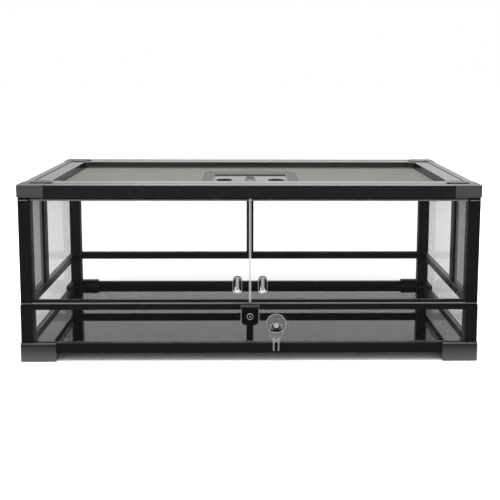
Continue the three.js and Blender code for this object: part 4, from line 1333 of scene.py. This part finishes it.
@dataclass
class Lock(SubAssembly):
    """The pale band that shows round the lock's housing, and the key cylinder.

    Args:
        corner: The radius of the housing's lower corners.
        corner_steps: Steps round each of them.
        rim: How far the band shows round the housing.
        rim_place: How far behind the housing's front the band's back lies.
        rim_thickness: The band's thickness.
        overlap: How far it reaches into the housing.
        lip: The width of the cylinder's bright ring.
        lip_outside: The chamfer outside it, across and along the axis.
        lip_inside: The chamfer inside it.
        dish: How deep the ring is dished.
        plug: How far the plug stands out of the dish.
        plug_chamfer: Its chamfer.
        plug_root: How far it reaches into the dish's floor.
        plug_gap: The gap round it.
        keyway: Half the keyway's width and height.
        keyway_lip: Half the width of each of its bright lips.
        lip_depth: How far a lip stands out of the plug's face and reaches into it.
    """

    corner: float = 13 * MM
    corner_steps: int = 10
    rim: float = 2.0 * MM
    rim_place: float = 13 * MM
    rim_thickness: float = 1.4 * MM
    overlap: float = 0.1 * MM
    lip: float = 1.3 * MM
    lip_outside: tuple[float, float] = (0.5 * MM, 0.6 * MM)
    lip_inside: tuple[float, float] = (0.3 * MM, 0.4 * MM)
    dish: float = 2.6 * MM
    plug: float = 1.0 * MM
    plug_chamfer: float = 0.5 * MM
    plug_root: float = 0.2 * MM
    plug_gap: float = 0.1 * MM
    keyway: tuple[float, float] = (0.9 * MM, 3.6 * MM)
    keyway_lip: float = 0.5 * MM
    lip_depth: tuple[float, float] = (0.5 * MM, 0.3 * MM)

    def build(self) -> None:
        """Makes the pale band and the cylinder."""
        self.seal()
        self.cylinder()

    def outline(self, inset: float, y: float) -> list[Point]:
        """Follows the housing, square at the top and round at its lower corners.

        Args:
            inset: How far the outline is drawn in.
            y: Its depth.

        Returns:
            The outline's points.
        """
        low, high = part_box("lock_body")
        radius = self.corner - inset
        top = high.z - inset
        ring = [(high.x - inset, y, top), (low.x + inset, y, top)]
        left = (low.x + self.corner, math.pi)
        right = (high.x - self.corner, 1.5 * math.pi)
        for centre_x, start in (left, right):
            for i in range(self.corner_steps + 1):
                angle = start + 0.5 * math.pi * i / self.corner_steps
                ring.append((
                    centre_x + radius * math.cos(angle),
                    y,
                    low.z + self.corner + radius * math.sin(angle),
                ))
        return ring

    def seal(self) -> None:
        """Makes the pale band that shows round the housing."""
        low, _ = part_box("lock_body")
        back = low.y + self.rim_place
        front = back - self.rim_thickness
        rings = [
            self.outline(self.overlap, back),
            self.outline(self.overlap, front),
            self.outline(-self.rim, front),
            self.outline(-self.rim, back),
        ]
        rim = finished("lock_rim", loft(rings, closed=True), self.paints(Surface.LOCK_RIM), smooth=30)
        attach(rim, "cabinet")
        LOG.info("made the lock's seal")

    def cylinder(self) -> None:
        """Makes the key cylinder: a dished ring, a plug finished in painted shade, and its keyway."""
        low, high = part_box("lock_cylinder")
        centre = Vector(((low.x + high.x) / 2, high.y, (low.z + high.z) / 2))
        radius = (high.x - low.x) / 2
        depth = high.y - low.y
        floor = depth - self.dish
        inner = radius - self.lip
        profile = [
            (0, 0),
            (radius, 0),
            (radius, depth - self.lip_outside[1]),
            (radius - self.lip_outside[0], depth),
            (inner + self.lip_inside[0], depth),
            (inner, depth - self.lip_inside[1]),
            (inner, floor),
            (0, floor),
        ]
        ring = turned(profile, centre, steps=72)
        barrel = finished("lock_barrel", ring, self.paints(Surface.STEEL), smooth=30)
        plug_radius = inner - self.plug_gap
        face = floor + self.plug
        plug_profile = [
            (0, floor - self.plug_root),
            (plug_radius, floor - self.plug_root),
            (plug_radius, face - self.plug_chamfer),
            (plug_radius - self.plug_chamfer, face),
            (0, face),
        ]
        core = turned(plug_profile, centre, steps=48)
        # The plug takes the near-black painted shade, standing in for the dark hollow inside the ring.
        plug = finished("lock_plug", core, self.paints(Surface.SHADE), smooth=30)
        whole = merged("lock_barrel", [barrel, plug, self.keyway_lips(centre, centre.y - face)])
        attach(whole, "cylinder")
        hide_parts("lock_cylinder")
        LOG.info("made the lock's cylinder")

    def keyway_lips(self, centre: Vector, face: float) -> bpy.types.Object:
        """Makes the bright lips on both sides of the keyway.

        Args:
            centre: The cylinder's axis.
            face: The depth of the plug's face.

        Returns:
            The two lips as one object.
        """
        half_width, half_height = self.keyway
        out, sunk = self.lip_depth
        lips = []
        for side in (-1, 1):
            middle = centre.x + side * (half_width + self.keyway_lip)
            low = (middle - self.keyway_lip, face - out, centre.z - half_height)
            high = (middle + self.keyway_lip, face + sunk, centre.z + half_height)
            lips.append(finished(f"keyway_lip_{side}", box_shape(low, high), self.paints(Surface.STEEL)))
        return merged("lock_keyway", lips)


@dataclass
class SuctionCup(SubAssembly):
    """The clear suction cup: a thin dish, a neck and a dimpled knob.

    Args:
        neck: The neck's radius.
        knob: The knob's radius.
        neck_start: How far in front of the glass the neck starts.
        knob_start: How far in front of the glass the knob starts.
        hollow: The dish's inner face, as shares of the cup's radius and reaches to the front in mm.
        crown: The dish's outer face in the same way.
        fillet: The points where the dish meets the neck, in mm from the neck's start.
        shoulder: The points where the neck meets the knob, in mm from the neck at the knob's start.
        flank: The knob's rear edge, in mm from its radius at its start.
        head: The knob's front edge, in mm from its radius at its front.
        dimple: The dimple in its front, in mm from the axis.
        core_gap: How far behind the knob's start its pale core, a painted light, begins.
        core_inset: How far inside the knob's radius the core begins.
        core_head: The core's front edge, in mm from the knob's radius at its front.
        core_dimple: The dimple in the core's front, in mm from the axis.
        line_inset: How far inside the cup's radius the painted highlight line runs.
        line_reach: How far in front of the glass it runs.
        line_radius: The line's radius.
    """

    neck: float = 4.5 * MM
    knob: float = 8.2 * MM
    neck_start: float = 6 * MM
    knob_start: float = 12 * MM
    hollow: Profile = ((0, 2.6), (0.3, 2.2), (0.62, 1.1), (0.9, 0.1), (1, 0))
    crown: Profile = ((1, 0.7), (0.94, 1.2), (0.8, 2.1), (0.6, 3.2), (0.42, 4.3))
    fillet: Profile = ((2.4, -0.5), (0.7, 0.2), (0, 1.2))
    shoulder: Profile = ((0, -0.8), (1, 0))
    flank: Profile = ((-0.6, 0.3), (0, 1))
    head: Profile = ((0, -1.4), (-0.9, -0.4), (-2.2, 0), (-4, -0.3))
    dimple: Profile = ((2, -1.2), (0, -1.4))
    core_gap: float = 1.2 * MM
    core_inset: float = 2.6 * MM
    core_head: Profile = ((-2.2, -2.4), (-3.4, -1.9))
    core_dimple: Profile = ((0, -2.2),)
    line_inset: float = 0.7 * MM
    line_reach: float = 1.3 * MM
    line_radius: float = 0.6 * MM

    def build(self) -> None:
        """Makes the cup with its knob's pale core and the line along its rim, both painted light."""
        low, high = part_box("suction_cup")
        radius = (high.x - low.x) / 2
        depth = high.y - low.y
        centre = Vector(((low.x + high.x) / 2, high.y, (low.z + high.z) / 2))
        line_centre = centre - Vector((0, self.line_reach, 0))
        line_radius = radius - self.line_inset
        line = wire(upright_oval(line_centre, line_radius, line_radius), self.line_radius)
        moulding = turned(self.moulding(radius, depth), centre, steps=96)
        core = turned(self.core(depth), centre, steps=48)
        cup = merged("cup_moulding", [
            finished("cup_moulding", moulding, self.paints(Surface.PULL), smooth=60),
            finished("cup_knob_light_core", core, self.paints(Surface.PULL_LIGHT_CORE), smooth=40),
            finished("cup_rim_highlight", line, self.paints(Surface.EDGE_HIGHLIGHT), smooth=60),
        ])
        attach(cup, "cabinet")
        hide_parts("suction_cup")
        LOG.info("made the suction cup")

    def moulding(self, radius: float, depth: float) -> list[tuple[float, float]]:
        """Draws the clear moulding's profile.

        Args:
            radius: The cup's radius.
            depth: Its reach from the glass.

        Returns:
            The profile, from the axis at the glass to the axis at the front.
        """
        profile = [(share * radius, reach * MM) for share, reach in (*self.hollow, *self.crown)]
        profile += stepped((self.neck, self.neck_start), self.fillet)
        profile += stepped((self.neck, self.knob_start), self.shoulder)
        profile += stepped((self.knob, self.knob_start), self.flank)
        profile += stepped((self.knob, depth), self.head)
        profile += stepped((0, depth), self.dimple)
        return profile

    def core(self, depth: float) -> list[tuple[float, float]]:
        """Draws the profile of the pale core that paints the light refracted through the knob.

        Args:
            depth: The cup's reach from the glass.

        Returns:
            The profile.
        """
        start = self.knob_start + self.core_gap
        profile = [(0, start), (self.knob - self.core_inset, start)]
        profile += stepped((self.knob, depth), self.core_head)
        profile += stepped((0, depth), self.core_dimple)
        return profile


@dataclass
class KeyRing(SubAssembly):
    """The wire ring that hangs on the cup's neck.

    Args:
        radius: The wire's radius.
    """

    radius: float = 0.8 * MM

    def build(self) -> None:
        """Makes the ring."""
        low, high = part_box("key_ring")
        half_width = (high.x - low.x) / 2 - self.radius
        half_height = (high.z - low.z) / 2 - self.radius
        path = upright_oval((low + high) / 2, half_width, half_height)
        loop = finished("key_wire", wire(path, self.radius), self.paints(Surface.STEEL), smooth=60)
        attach(loop, "ring")
        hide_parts("key_ring")
        LOG.info("made the wire ring")


@dataclass
class Key(SubAssembly):
    """A small flat key with a cut blade and rounded edges.

    Args:
        side: The key's node suffix.
        body: The body it rides on.
        turn: The turn of its face about the vertical, in degrees.
        bow: The bow's radius.
        bow_steps: Steps round the bow.
        hole: The radius of the hole in the bow.
        hole_rise: How far above the bow's middle it lies.
        hole_steps: Steps round the hole.
        blade: Half the blade's width.
        thickness: The key's thickness.
        cuts: The depth of each cut, from the bow down.
        cut_shape: A cut's corners, as shares of its depth and of the distance between cuts.
        bevel: The width of the rounded edges.
    """

    side: str
    body: str
    turn: float
    bow: float = 7.6 * MM
    bow_steps: int = 40
    hole: float = 3.4 * MM
    hole_rise: float = 1.6 * MM
    hole_steps: int = 28
    blade: float = 2.8 * MM
    thickness: float = 1.6 * MM
    cuts: Sequence[float] = (1.9 * MM, 1.1 * MM, 1.9 * MM, 1.1 * MM)
    cut_shape: Profile = ((0, 0), (1, 0.4), (1, 0.5), (0, 0.9))
    bevel: float = 0.22 * MM

    def build(self) -> None:
        """Makes the key."""
        low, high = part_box(f"key_{self.side}")
        middle = (low + high) / 2
        bow_z = high.z - self.bow
        shape = self.plate(self.outline(bow_z, low.z), bow_z + self.hole_rise)
        turn = Matrix.Rotation(math.radians(self.turn), 4, "Z")
        shape.transform(Matrix.Translation((middle.x, middle.y, 0)) @ turn)
        key = finished(f"key_{self.side}_cut", shape, self.paints(Surface.STEEL), smooth=25)
        bevel = key.modifiers.new("edges", "BEVEL")
        bevel.width = self.bevel
        bevel.segments = 2
        bevel.limit_method = "ANGLE"
        apply_modifiers(key)
        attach(key, self.body)
        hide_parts(f"key_{self.side}")
        LOG.info("made the %s key", self.side)

    def outline(self, bow_z: float, tip_z: float) -> list[tuple[float, float]]:
        """Draws the key's outline: a round bow, a blade with its cuts, and a point.

        Args:
            bow_z: The height of the bow's middle.
            tip_z: The height of the point.

        Returns:
            The outline's points, across and up.
        """
        neck = math.asin(self.blade / self.bow)
        outline = []
        for i in range(self.bow_steps + 1):
            angle = neck + 2 * (math.pi - neck) * i / self.bow_steps
            outline.append((self.bow * math.sin(angle), bow_z - self.bow * math.cos(angle)))
        root = bow_z - self.bow * math.cos(neck)
        pitch = (root - tip_z - 3 * self.blade) / len(self.cuts)
        for i, cut in enumerate(self.cuts):
            top = root - self.blade - i * pitch
            for deep, down in self.cut_shape:
                outline.append((-self.blade + deep * cut, top - down * pitch))
        outline += [(-self.blade, tip_z + self.blade), (0, tip_z), (self.blade, tip_z + self.blade)]
        return outline

    def plate(self, outline: Profile, hole_z: float) -> bmesh.types.BMesh:
        """Cuts a flat plate with one round hole.

        Args:
            outline: The plate's outline.
            hole_z: The height of the hole's middle.

        Returns:
            The plate.
        """
        shape = bmesh.new()
        back = -self.thickness / 2
        outer = [shape.verts.new((x, back, z)) for x, z in outline]
        inner = []
        for i in range(self.hole_steps):
            angle = math.tau * i / self.hole_steps
            inner.append(shape.verts.new((
                self.hole * math.cos(angle),
                back,
                hole_z + self.hole * math.sin(angle),
            )))
        edges = []
        for loop in (outer, inner):
            for i, vert in enumerate(loop):
                edges.append(shape.edges.new((loop[i - 1], vert)))
        bmesh.ops.triangle_fill(shape, edges=edges, use_beauty=True, normal=(0, -1, 0))
        pushed = bmesh.ops.extrude_face_region(shape, geom=list(shape.faces))
        moved = [item for item in pushed["geom"] if isinstance(item, bmesh.types.BMVert)]
        bmesh.ops.translate(shape, verts=moved, vec=(0, self.thickness, 0))
        return shape


@dataclass
class DoorEdges(SubAssembly):
    """Painted highlights along the two door panes' edges and at their stiles' ends, and the seal over the
    panes.

    Args:
        reach: How far the middle edge stands out of its pane.
        depth: How far it reaches into the pane.
        rise: The height of the lower edge.
        skin: How far an edge stands out of the pane's faces.
        seal: The head seal's depth, and how far it hangs below the top rail.
        seal_gap: How far the seal stays from the stiles.
        seal_back: How far it lies behind the panes.
        stile_line: The height of the painted highlight lines at the stiles' ends.
        stile_line_inset: How far a line stays inside the stile's sides.
        stile_line_depth: How far it stands out of the stile's front and reaches into it.
        stile_line_gaps: How far the lower one stands above the pane's foot, and the upper one below the
            rail.
    """

    reach: float = 0.8 * MM
    depth: float = 1.2 * MM
    rise: float = 2.2 * MM
    skin: float = 0.06 * MM
    seal: tuple[float, float] = (3 * MM, 3.4 * MM)
    seal_gap: float = 3 * MM
    seal_back: float = 0.6 * MM
    stile_line: float = 1.3 * MM
    stile_line_inset: float = 1.5 * MM
    stile_line_depth: tuple[float, float] = (0.2 * MM, 1 * MM)
    stile_line_gaps: tuple[float, float] = (0.6 * MM, 0.3 * MM)

    def build(self) -> None:
        """Makes the head seal, then both doors' painted edge highlights with the painted highlight lines at
        their stiles' ends.
        """
        self.head_seal()
        for side in SIDES:
            edges = merged(f"door_edges_{side}", [*self.pane_edges(side), *self.stile_highlights(side)])
            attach(edges, f"door_{side}")
            LOG.info("made the %s door's edges", side)

    def head_seal(self) -> None:
        """Makes the grey seal under the front top rail, behind the panes."""
        rail_low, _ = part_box("top_rail_front")
        _, pane_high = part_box("door_glass_left")
        _, stile_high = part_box("door_stile_left")
        depth, hang = self.seal
        half = -stile_high.x - self.seal_gap
        face = pane_high.y + self.seal_back
        shape = box_shape((-half, face, rail_low.z - hang), (half, face + depth, rail_low.z))
        seal = finished("door_head_seal", shape, self.paints(Surface.SEAL_AND_HIGHLIGHT))
        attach(seal, "cabinet")
        LOG.info("made the doors' head seal")

    def pane_edges(self, side: str) -> list[bpy.types.Object]:
        """Makes the painted highlights along the middle edge and the lower edge of one door's pane.

        Args:
            side: The door's side.

        Returns:
            The two edges.
        """
        low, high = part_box(f"door_glass_{side}")
        if side == "left":
            start, end = high.x - self.depth, high.x + self.reach
        else:
            start, end = low.x - self.reach, low.x + self.depth
        front, back = low.y - self.skin, high.y + self.skin
        step = low.z + self.rise
        upright = box_shape((start, front, step), (end, back, high.z))
        lower = box_shape((low.x, front, low.z + self.skin), (high.x, back, step))
        # Both strips are painted highlights: pale bands where the glass edges catch the light.
        return [
            finished(f"door_edge_{side}", upright, self.paints(Surface.EDGE_HIGHLIGHT)),
            finished(f"door_lower_edge_{side}", lower, self.paints(Surface.LOWER_EDGE_HIGHLIGHT)),
        ]

    def stile_highlights(self, side: str) -> list[bpy.types.Object]:
        """Makes the painted highlight lines at both ends of a door's stile.

        Args:
            side: The door's side.

        Returns:
            The lower and the upper line.
        """
        low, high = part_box(f"door_stile_{side}")
        pane_low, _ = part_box(f"door_glass_{side}")
        rail_low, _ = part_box("top_rail_front")
        lower_gap, upper_gap = self.stile_line_gaps
        left, right = low.x + self.stile_line_inset, high.x - self.stile_line_inset
        front, back = low.y - self.stile_line_depth[0], low.y + self.stile_line_depth[1]
        stile_highlights = []
        for bottom in (pane_low.z + lower_gap, rail_low.z - self.stile_line - upper_gap):
            shape = box_shape((left, front, bottom), (right, back, bottom + self.stile_line))
            # Painted highlight: a pale strip standing in for the light caught at the stile's end.
            stile_highlights.append(finished(f"stile_highlight_{side}", shape, self.paints(Surface.SEAL_AND_HIGHLIGHT)))
        return stile_highlights


@dataclass
class LidTrim(SubAssembly):
    """The caps on the lid's corners and the retainer that holds its cloth.

    Args:
        arm: A cap's size along the lid and across it.
        rise: How far a cap stands up.
        root: How far it reaches down into the rails.
        inset: How far it stays inside the lid's edges.
        shoulder: Where its end starts to draw in, as a share of its size across.
        drawn: How far its end is drawn in, as a share of its size across.
        curve_steps: Steps along the drawn-in end.
        bevel: The width and the height of its bevel.
        seat: How far the retainer lies inside the cloth's edges.
        strip: The width and the height of the retainer's strips.
        lift: How far they stand above the cloth.
    """

    arm: tuple[float, float] = (56 * MM, 45 * MM)
    rise: float = 2.6 * MM
    root: float = 0.4 * MM
    inset: float = 1.2 * MM
    shoulder: float = 0.45
    drawn: float = 0.3
    curve_steps: int = 6
    bevel: tuple[float, float] = (0.9 * MM, 0.8 * MM)
    seat: float = 8.3 * MM
    strip: tuple[float, float] = (1.4 * MM, 3.3 * MM)
    lift: float = 0.4 * MM

    def build(self) -> None:
        """Makes the caps and the retainer."""
        pieces = [self.cap(x_side, y_side) for x_side in (-1, 1) for y_side in (-1, 1)]
        caps = merged("lid_corner_caps", pieces)
        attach(caps, "screen_lid")
        LOG.info("made the lid's corner caps")
        retainer = merged("mesh_retainer", self.retainer())
        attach(retainer, "screen_lid")
        LOG.info("made the lid's retainer")

    def plan(self) -> list[tuple[float, float]]:
        """Draws a cap from above, with its end drawn in where it meets the rail.

        Returns:
            The plan's points, along and across the lid from the lid's corner.
        """
        along, across = self.arm
        start = across * self.shoulder
        points = [(self.inset, self.inset), (along, self.inset), (along, start)]
        for i in range(1, self.curve_steps + 1):
            angle = 0.5 * math.pi * i / self.curve_steps
            drawn = across * self.drawn * math.sin(angle)
            points.append((along - drawn, start + (across - start) * (1 - math.cos(angle))))
        points.append((self.inset, across))
        return points

    def cap(self, x_side: int, y_side: int) -> bpy.types.Object:
        """Makes one corner cap with a bevelled top.

        Args:
            x_side: The corner's side along the lid.
            y_side: The corner's side across the lid.

        Returns:
            The cap.
        """
        low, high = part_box("lid_rail_back" if y_side > 0 else "lid_rail_front")
        corner_x = high.x if x_side > 0 else low.x
        corner_y = high.y if y_side > 0 else low.y
        middle = Vector(self.arm) / 2
        bevel, drop = self.bevel
        plan = self.plan()
        rings = []
        for shrink, lift in ((0.0, -self.root), (0.0, self.rise - drop), (bevel, self.rise)):
            ring = []
            for along, across in plan:
                toward = (middle - Vector((along, across))).normalized() * shrink
                x = corner_x - x_side * (along + toward.x)
                y = corner_y - y_side * (across + toward.y)
                ring.append((x, y, high.z + lift))
            rings.append(ring)
        return finished(f"lid_cap_{x_side}_{y_side}", loft(rings), self.paints(Surface.CAP), smooth=25)

    def retainer(self) -> list[bpy.types.Object]:
        """Makes the retainer's strips, along the bead round the cloth; the side strips are painted shade.

        Returns:
            The four strips.
        """
        low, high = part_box("lid_mesh")
        thick, tall = self.strip
        left, right = low.x + self.seat, high.x - self.seat
        front, back = low.y + self.seat, high.y - self.seat
        bottom = high.z + self.lift
        spans = {
            "back": ((left, back - thick), (right, back)),
            "front": ((left, front), (right, front + thick)),
            "left": ((left, front), (left + thick, back)),
            "right": ((right - thick, front), (right, back)),
        }
        strips = []
        for name, (start, end) in spans.items():
            shape = box_shape((*start, bottom), (*end, bottom + tall))
            # The side strips take the painted shade finish, standing in for the shade along the cloth's
            # side edges.
            surface = Surface.SHADE if name in SIDES else Surface.RETAINER
            strips.append(finished(f"retainer_{name}", shape, self.paints(surface)))
        return strips


@dataclass
class BrightEdges(SubAssembly):
    """Painted highlights along the outer top edges of the feet and the corner blocks, where they catch the
    light.

    Args:
        foot_line: The height of the lines on the feet.
        block_line: The height of the lines on the corner blocks.
        inset: How far a line stays clear of its piece's rounded corner.
        rail_gap: How far it stays clear of the rails.
        skin: How far a line stands out of its piece.
    """

    foot_line: float = 1.1 * MM
    block_line: float = 0.7 * MM
    inset: float = 3.5 * MM
    rail_gap: float = 1.17 * MM
    skin: float = 0.12 * MM

    def build(self) -> None:
        """Makes all the lines."""
        lines = []
        for corner in CORNERS:
            lines += self.corner_lines(f"foot_{corner}", "base_rail", corner, self.foot_line)
            lines += self.corner_lines(f"top_corner_{corner}", "top_rail", corner, self.block_line)
        whole = merged("corner_edge_lines", lines)
        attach(whole, "cabinet")
        LOG.info("made the corners' bright edges")

    def corner_lines(self, piece: str, rail: str, corner: str, height: float) -> list[bpy.types.Object]:
        """Makes the two painted highlight lines along a corner piece's outer top edges, up to the rails.

        Args:
            piece: The corner piece's node.
            rail: The name that the rails between such pieces start with.
            corner: Where it stands.
            height: The lines' height.

        Returns:
            The line along the case and the line across it.
        """
        wall, side = corner.split("_")
        x_end, x_way = (0, 1) if side == "left" else (1, -1)
        y_end, y_way = (0, 1) if wall == "front" else (1, -1)
        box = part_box(piece)
        face_x, face_y, top = box[x_end].x, box[y_end].y, box[1].z
        rail_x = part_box(f"{rail}_{wall}")[x_end].x - x_way * self.rail_gap
        rail_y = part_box(f"{rail}_{side}")[y_end].y - y_way * self.rail_gap
        run_x = sorted((face_x + x_way * self.inset, rail_x))
        run_y = sorted((face_y + y_way * self.inset, rail_y))
        depth_x = sorted((face_x - x_way * self.skin, face_x + x_way * height))
        depth_y = sorted((face_y - y_way * self.skin, face_y + y_way * height))
        lines = []
        for name, (x_0, x_1), (y_0, y_1) in (("along", run_x, depth_y), ("across", depth_x, run_y)):
            # Each line is a pale strip: a painted highlight.
            shape = box_shape((x_0, y_0, top - height), (x_1, y_1, top + self.skin))
            lines.append(finished(f"{piece}_edge_{name}", shape, self.paints(Surface.SEAL_AND_HIGHLIGHT)))
        return lines


# ------------------------------------------------------------------ studio


@dataclass(frozen=True)
class Softbox:
    """A soft rectangular lamp.

    Args:
        name: The lamp's name.
        place: Where it hangs.
        aim: What it points at.
        size: Its width and height.
        power: Its power in watts.
    """

    name: str
    place: Point
    aim: Point
    size: tuple[float, float]
    power: float

    def hang(self) -> None:
        """Hangs the lamp in the scene."""
        data = bpy.data.lights.new(self.name, "AREA")
        data.shape = "RECTANGLE"
        data.size, data.size_y = self.size
        data.energy = self.power
        lamp = bpy.data.objects.new(self.name, data)
        lamp.location = self.place
        way = Vector(self.aim) - Vector(self.place)
        lamp.rotation_euler = way.to_track_quat("-Z", "Y").to_euler()
        bpy.context.scene.collection.objects.link(lamp)


@dataclass
class Studio:
    """The camera, the pale ground and the light.

    Args:
        eye: Where the camera stands.
        yaw: How far it turns to the right, in degrees.
        pitch: How far it looks down, in degrees.
        roll: Its roll, in degrees.
        focal_share: The focal length as a share of the picture's width.
        principal: The place of the straight-ahead ray, as shares of the width.
        sensor: The width of the camera's sensor in millimetres.
        clip_end: How far the camera sees.
        ground_size: How far the ground reaches each way.
        ground_roughness: How matt it is.
        ground_gain: How much whiter the ground is to the eye than to what it lights.
        through_gain: How much whiter it is through the panes.
        tone: How pale the ground is to what it lights.
        far_dimming: How much darker it is in reflections.
        near_dimming: How much darker still, in front of the case.
        near_edge: Where the ground in front of the case ends, along the depth.
        front_glow: How bright the room on the camera's side is in reflections.
        front_turn: How far reflections point to the front or the back where that room starts and ends.
        ambient: How bright the surroundings are to matt surfaces.
        lamps: The soft lamps.
    """

    eye: Point = (-0.001, -2.342, 0.778)
    yaw: float = 0.89
    pitch: float = 6.7
    roll: float = 0.17
    focal_share: float = 789.1 / PICTURE_WIDTH
    principal: tuple[float, float] = (262 / PICTURE_WIDTH, 162.4 / PICTURE_WIDTH)
    sensor: float = 36.0
    clip_end: float = 50.0
    ground_size: float = 30.0
    ground_roughness: float = 0.9
    ground_gain: float = 1.6
    through_gain: float = 0.67
    tone: float = 0.8
    far_dimming: float = 0.45
    near_dimming: float = 0.28
    near_edge: float = -0.3
    front_glow: float = 0.03
    front_turn: tuple[float, float] = (-0.55, 0.25)
    ambient: float = 0.5
    lamps: tuple[Softbox, ...] = (
        Softbox("key_softbox", (-0.6, -0.9, 3.0), (0, 0, 0.2), (2.6, 2.0), 38),
        Softbox("back_softbox", (0.5, 2.4, 2.2), (0, 0, 0.3), (3.0, 1.4), 26),
    )

    def build(self) -> None:
        """Sets up the whole studio."""
        self.camera()
        self.ground()
        self.surroundings()
        for lamp in self.lamps:
            lamp.hang()
        bpy.context.scene.view_settings.view_transform = "Standard"
        LOG.info("set up the studio")

    def camera(self) -> None:
        """Sets the camera up at the photograph's viewing angle."""
        yaw, pitch, roll = (math.radians(v) for v in (self.yaw, self.pitch, self.roll))
        ahead = Vector((math.sin(yaw) * math.cos(pitch), math.cos(yaw) * math.cos(pitch), -math.sin(pitch)))
        right = Vector((math.cos(yaw), -math.sin(yaw), 0))
        up = right.cross(ahead)
        rolled_right = right * math.cos(roll) + up * math.sin(roll)
        rolled_up = up * math.cos(roll) - right * math.sin(roll)
        data = bpy.data.cameras.new("camera")
        data.sensor_width = self.sensor
        data.lens = self.focal_share * self.sensor
        data.shift_x = 0.5 - self.principal[0]
        data.shift_y = self.principal[1] - 0.5
        data.clip_end = self.clip_end
        camera = bpy.data.objects.new("camera", data)
        columns = Matrix((rolled_right, rolled_up, -ahead)).transposed()
        camera.matrix_world = Matrix.Translation(self.eye) @ columns.to_4x4()
        bpy.context.scene.collection.objects.link(camera)
        bpy.context.scene.camera = camera

    @staticmethod
    def split_paths(sheet: NodeSheet) -> tuple[bpy.types.NodeSocket, ...]:
        """Tells apart what is seen directly, what is seen through a pane and what is mirrored.

        Args:
            sheet: The sheet that takes the nodes.

        Returns:
            Three sockets, each 1 for its kind of ray and otherwise 0.
        """
        path = sheet.add("ShaderNodeLightPath")
        bounced = sheet.math("GREATER_THAN", path.outputs["Glossy Depth"], 0.5)
        straight = sheet.math("SUBTRACT", 1.0, bounced)
        through = sheet.math("MULTIPLY", path.outputs["Is Transmission Ray"], straight)
        mirrored = sheet.math("MULTIPLY", path.outputs["Is Glossy Ray"], bounced)
        return path.outputs["Is Camera Ray"], through, mirrored

    def ground(self) -> None:
        """Lays a pale ground that keeps the case's soft shadow."""
        shape = bmesh.new()
        bmesh.ops.create_grid(shape, x_segments=1, y_segments=1, size=self.ground_size)
        material = bpy.data.materials.new("pale_ground")
        material.use_nodes = True
        sheet = NodeSheet(material.node_tree)
        shader = material.node_tree.nodes["Principled BSDF"]
        shader.inputs["Roughness"].default_value = self.ground_roughness
        shader.inputs["Specular IOR Level"].default_value = 0.0
        place = sheet.add("ShaderNodeTexCoord").outputs["Object"]
        depth = sheet.add("ShaderNodeSeparateXYZ", {"Vector": place}).outputs["Y"]
        camera, through, mirrored = self.split_paths(sheet)
        direct = sheet.math("MULTIPLY", camera, self.ground_gain)
        seen = sheet.math("MULTIPLY_ADD", through, self.through_gain, direct)
        nearby = sheet.math("LESS_THAN", depth, self.near_edge)
        dimming = sheet.math("MULTIPLY_ADD", nearby, self.near_dimming, self.far_dimming)
        dimmed = sheet.math("SUBTRACT", self.tone, sheet.math("MULTIPLY", mirrored, dimming))
        tone = sheet.math("ADD", seen, dimmed)
        grey = sheet.add("ShaderNodeCombineColor", {"Red": tone, "Green": tone, "Blue": tone})
        sheet.tree.links.new(grey.outputs[0], shader.inputs["Base Color"])
        ground = finished("ground", shape, material)

    def surroundings(self) -> None:
        """Sets white surroundings behind and above, and a dim room on the camera's side."""
        world = bpy.data.worlds.new("studio")
        world.use_nodes = True
        bpy.context.scene.world = world
        sheet = NodeSheet(world.node_tree)
        background = world.node_tree.nodes["Background"]
        camera, through, mirrored = self.split_paths(sheet)
        way = sheet.add("ShaderNodeTexCoord").outputs["Generated"]
        parts = sheet.add("ShaderNodeSeparateXYZ", {"Vector": way})
        behind = sheet.add(
            "ShaderNodeMapRange",
            {
                "Value": parts.outputs["Y"],
                "From Min": self.front_turn[0],
                "From Max": self.front_turn[1],
                "To Min": self.front_glow,
            },
        )
        reflected = sheet.math("MULTIPLY", mirrored, behind.outputs[0])
        ambient = sheet.math("MULTIPLY_ADD", mirrored, -self.ambient, self.ambient)
        seen = sheet.math("MAXIMUM", camera, through)
        strength = sheet.math("MAXIMUM", sheet.math("ADD", reflected, ambient), seen)
        background.inputs["Color"].default_value = (1, 1, 1, 1)
        sheet.tree.links.new(strength, background.inputs["Strength"])


def main() -> None:
    """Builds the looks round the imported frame."""
    logging.basicConfig(level=logging.INFO, format="%(message)s")
    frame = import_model()
    paints = Paints()
    Studio().build()
    makers: list[SubAssembly] = [
        Casework(paints, frame["nodes"]),
        Screens(paints),
        Pulls(paints),
        Lock(paints),
        SuctionCup(paints),
        KeyRing(paints),
        Key(paints, "left", "key_a", 90 + KEY_SPREAD),
        Key(paints, "right", "key_b", 90 - KEY_SPREAD),
        DoorEdges(paints),
        LidTrim(paints),
        BrightEdges(paints),
    ]
    for maker in makers:
        maker.build()


if __name__ == "__main__":
    main()
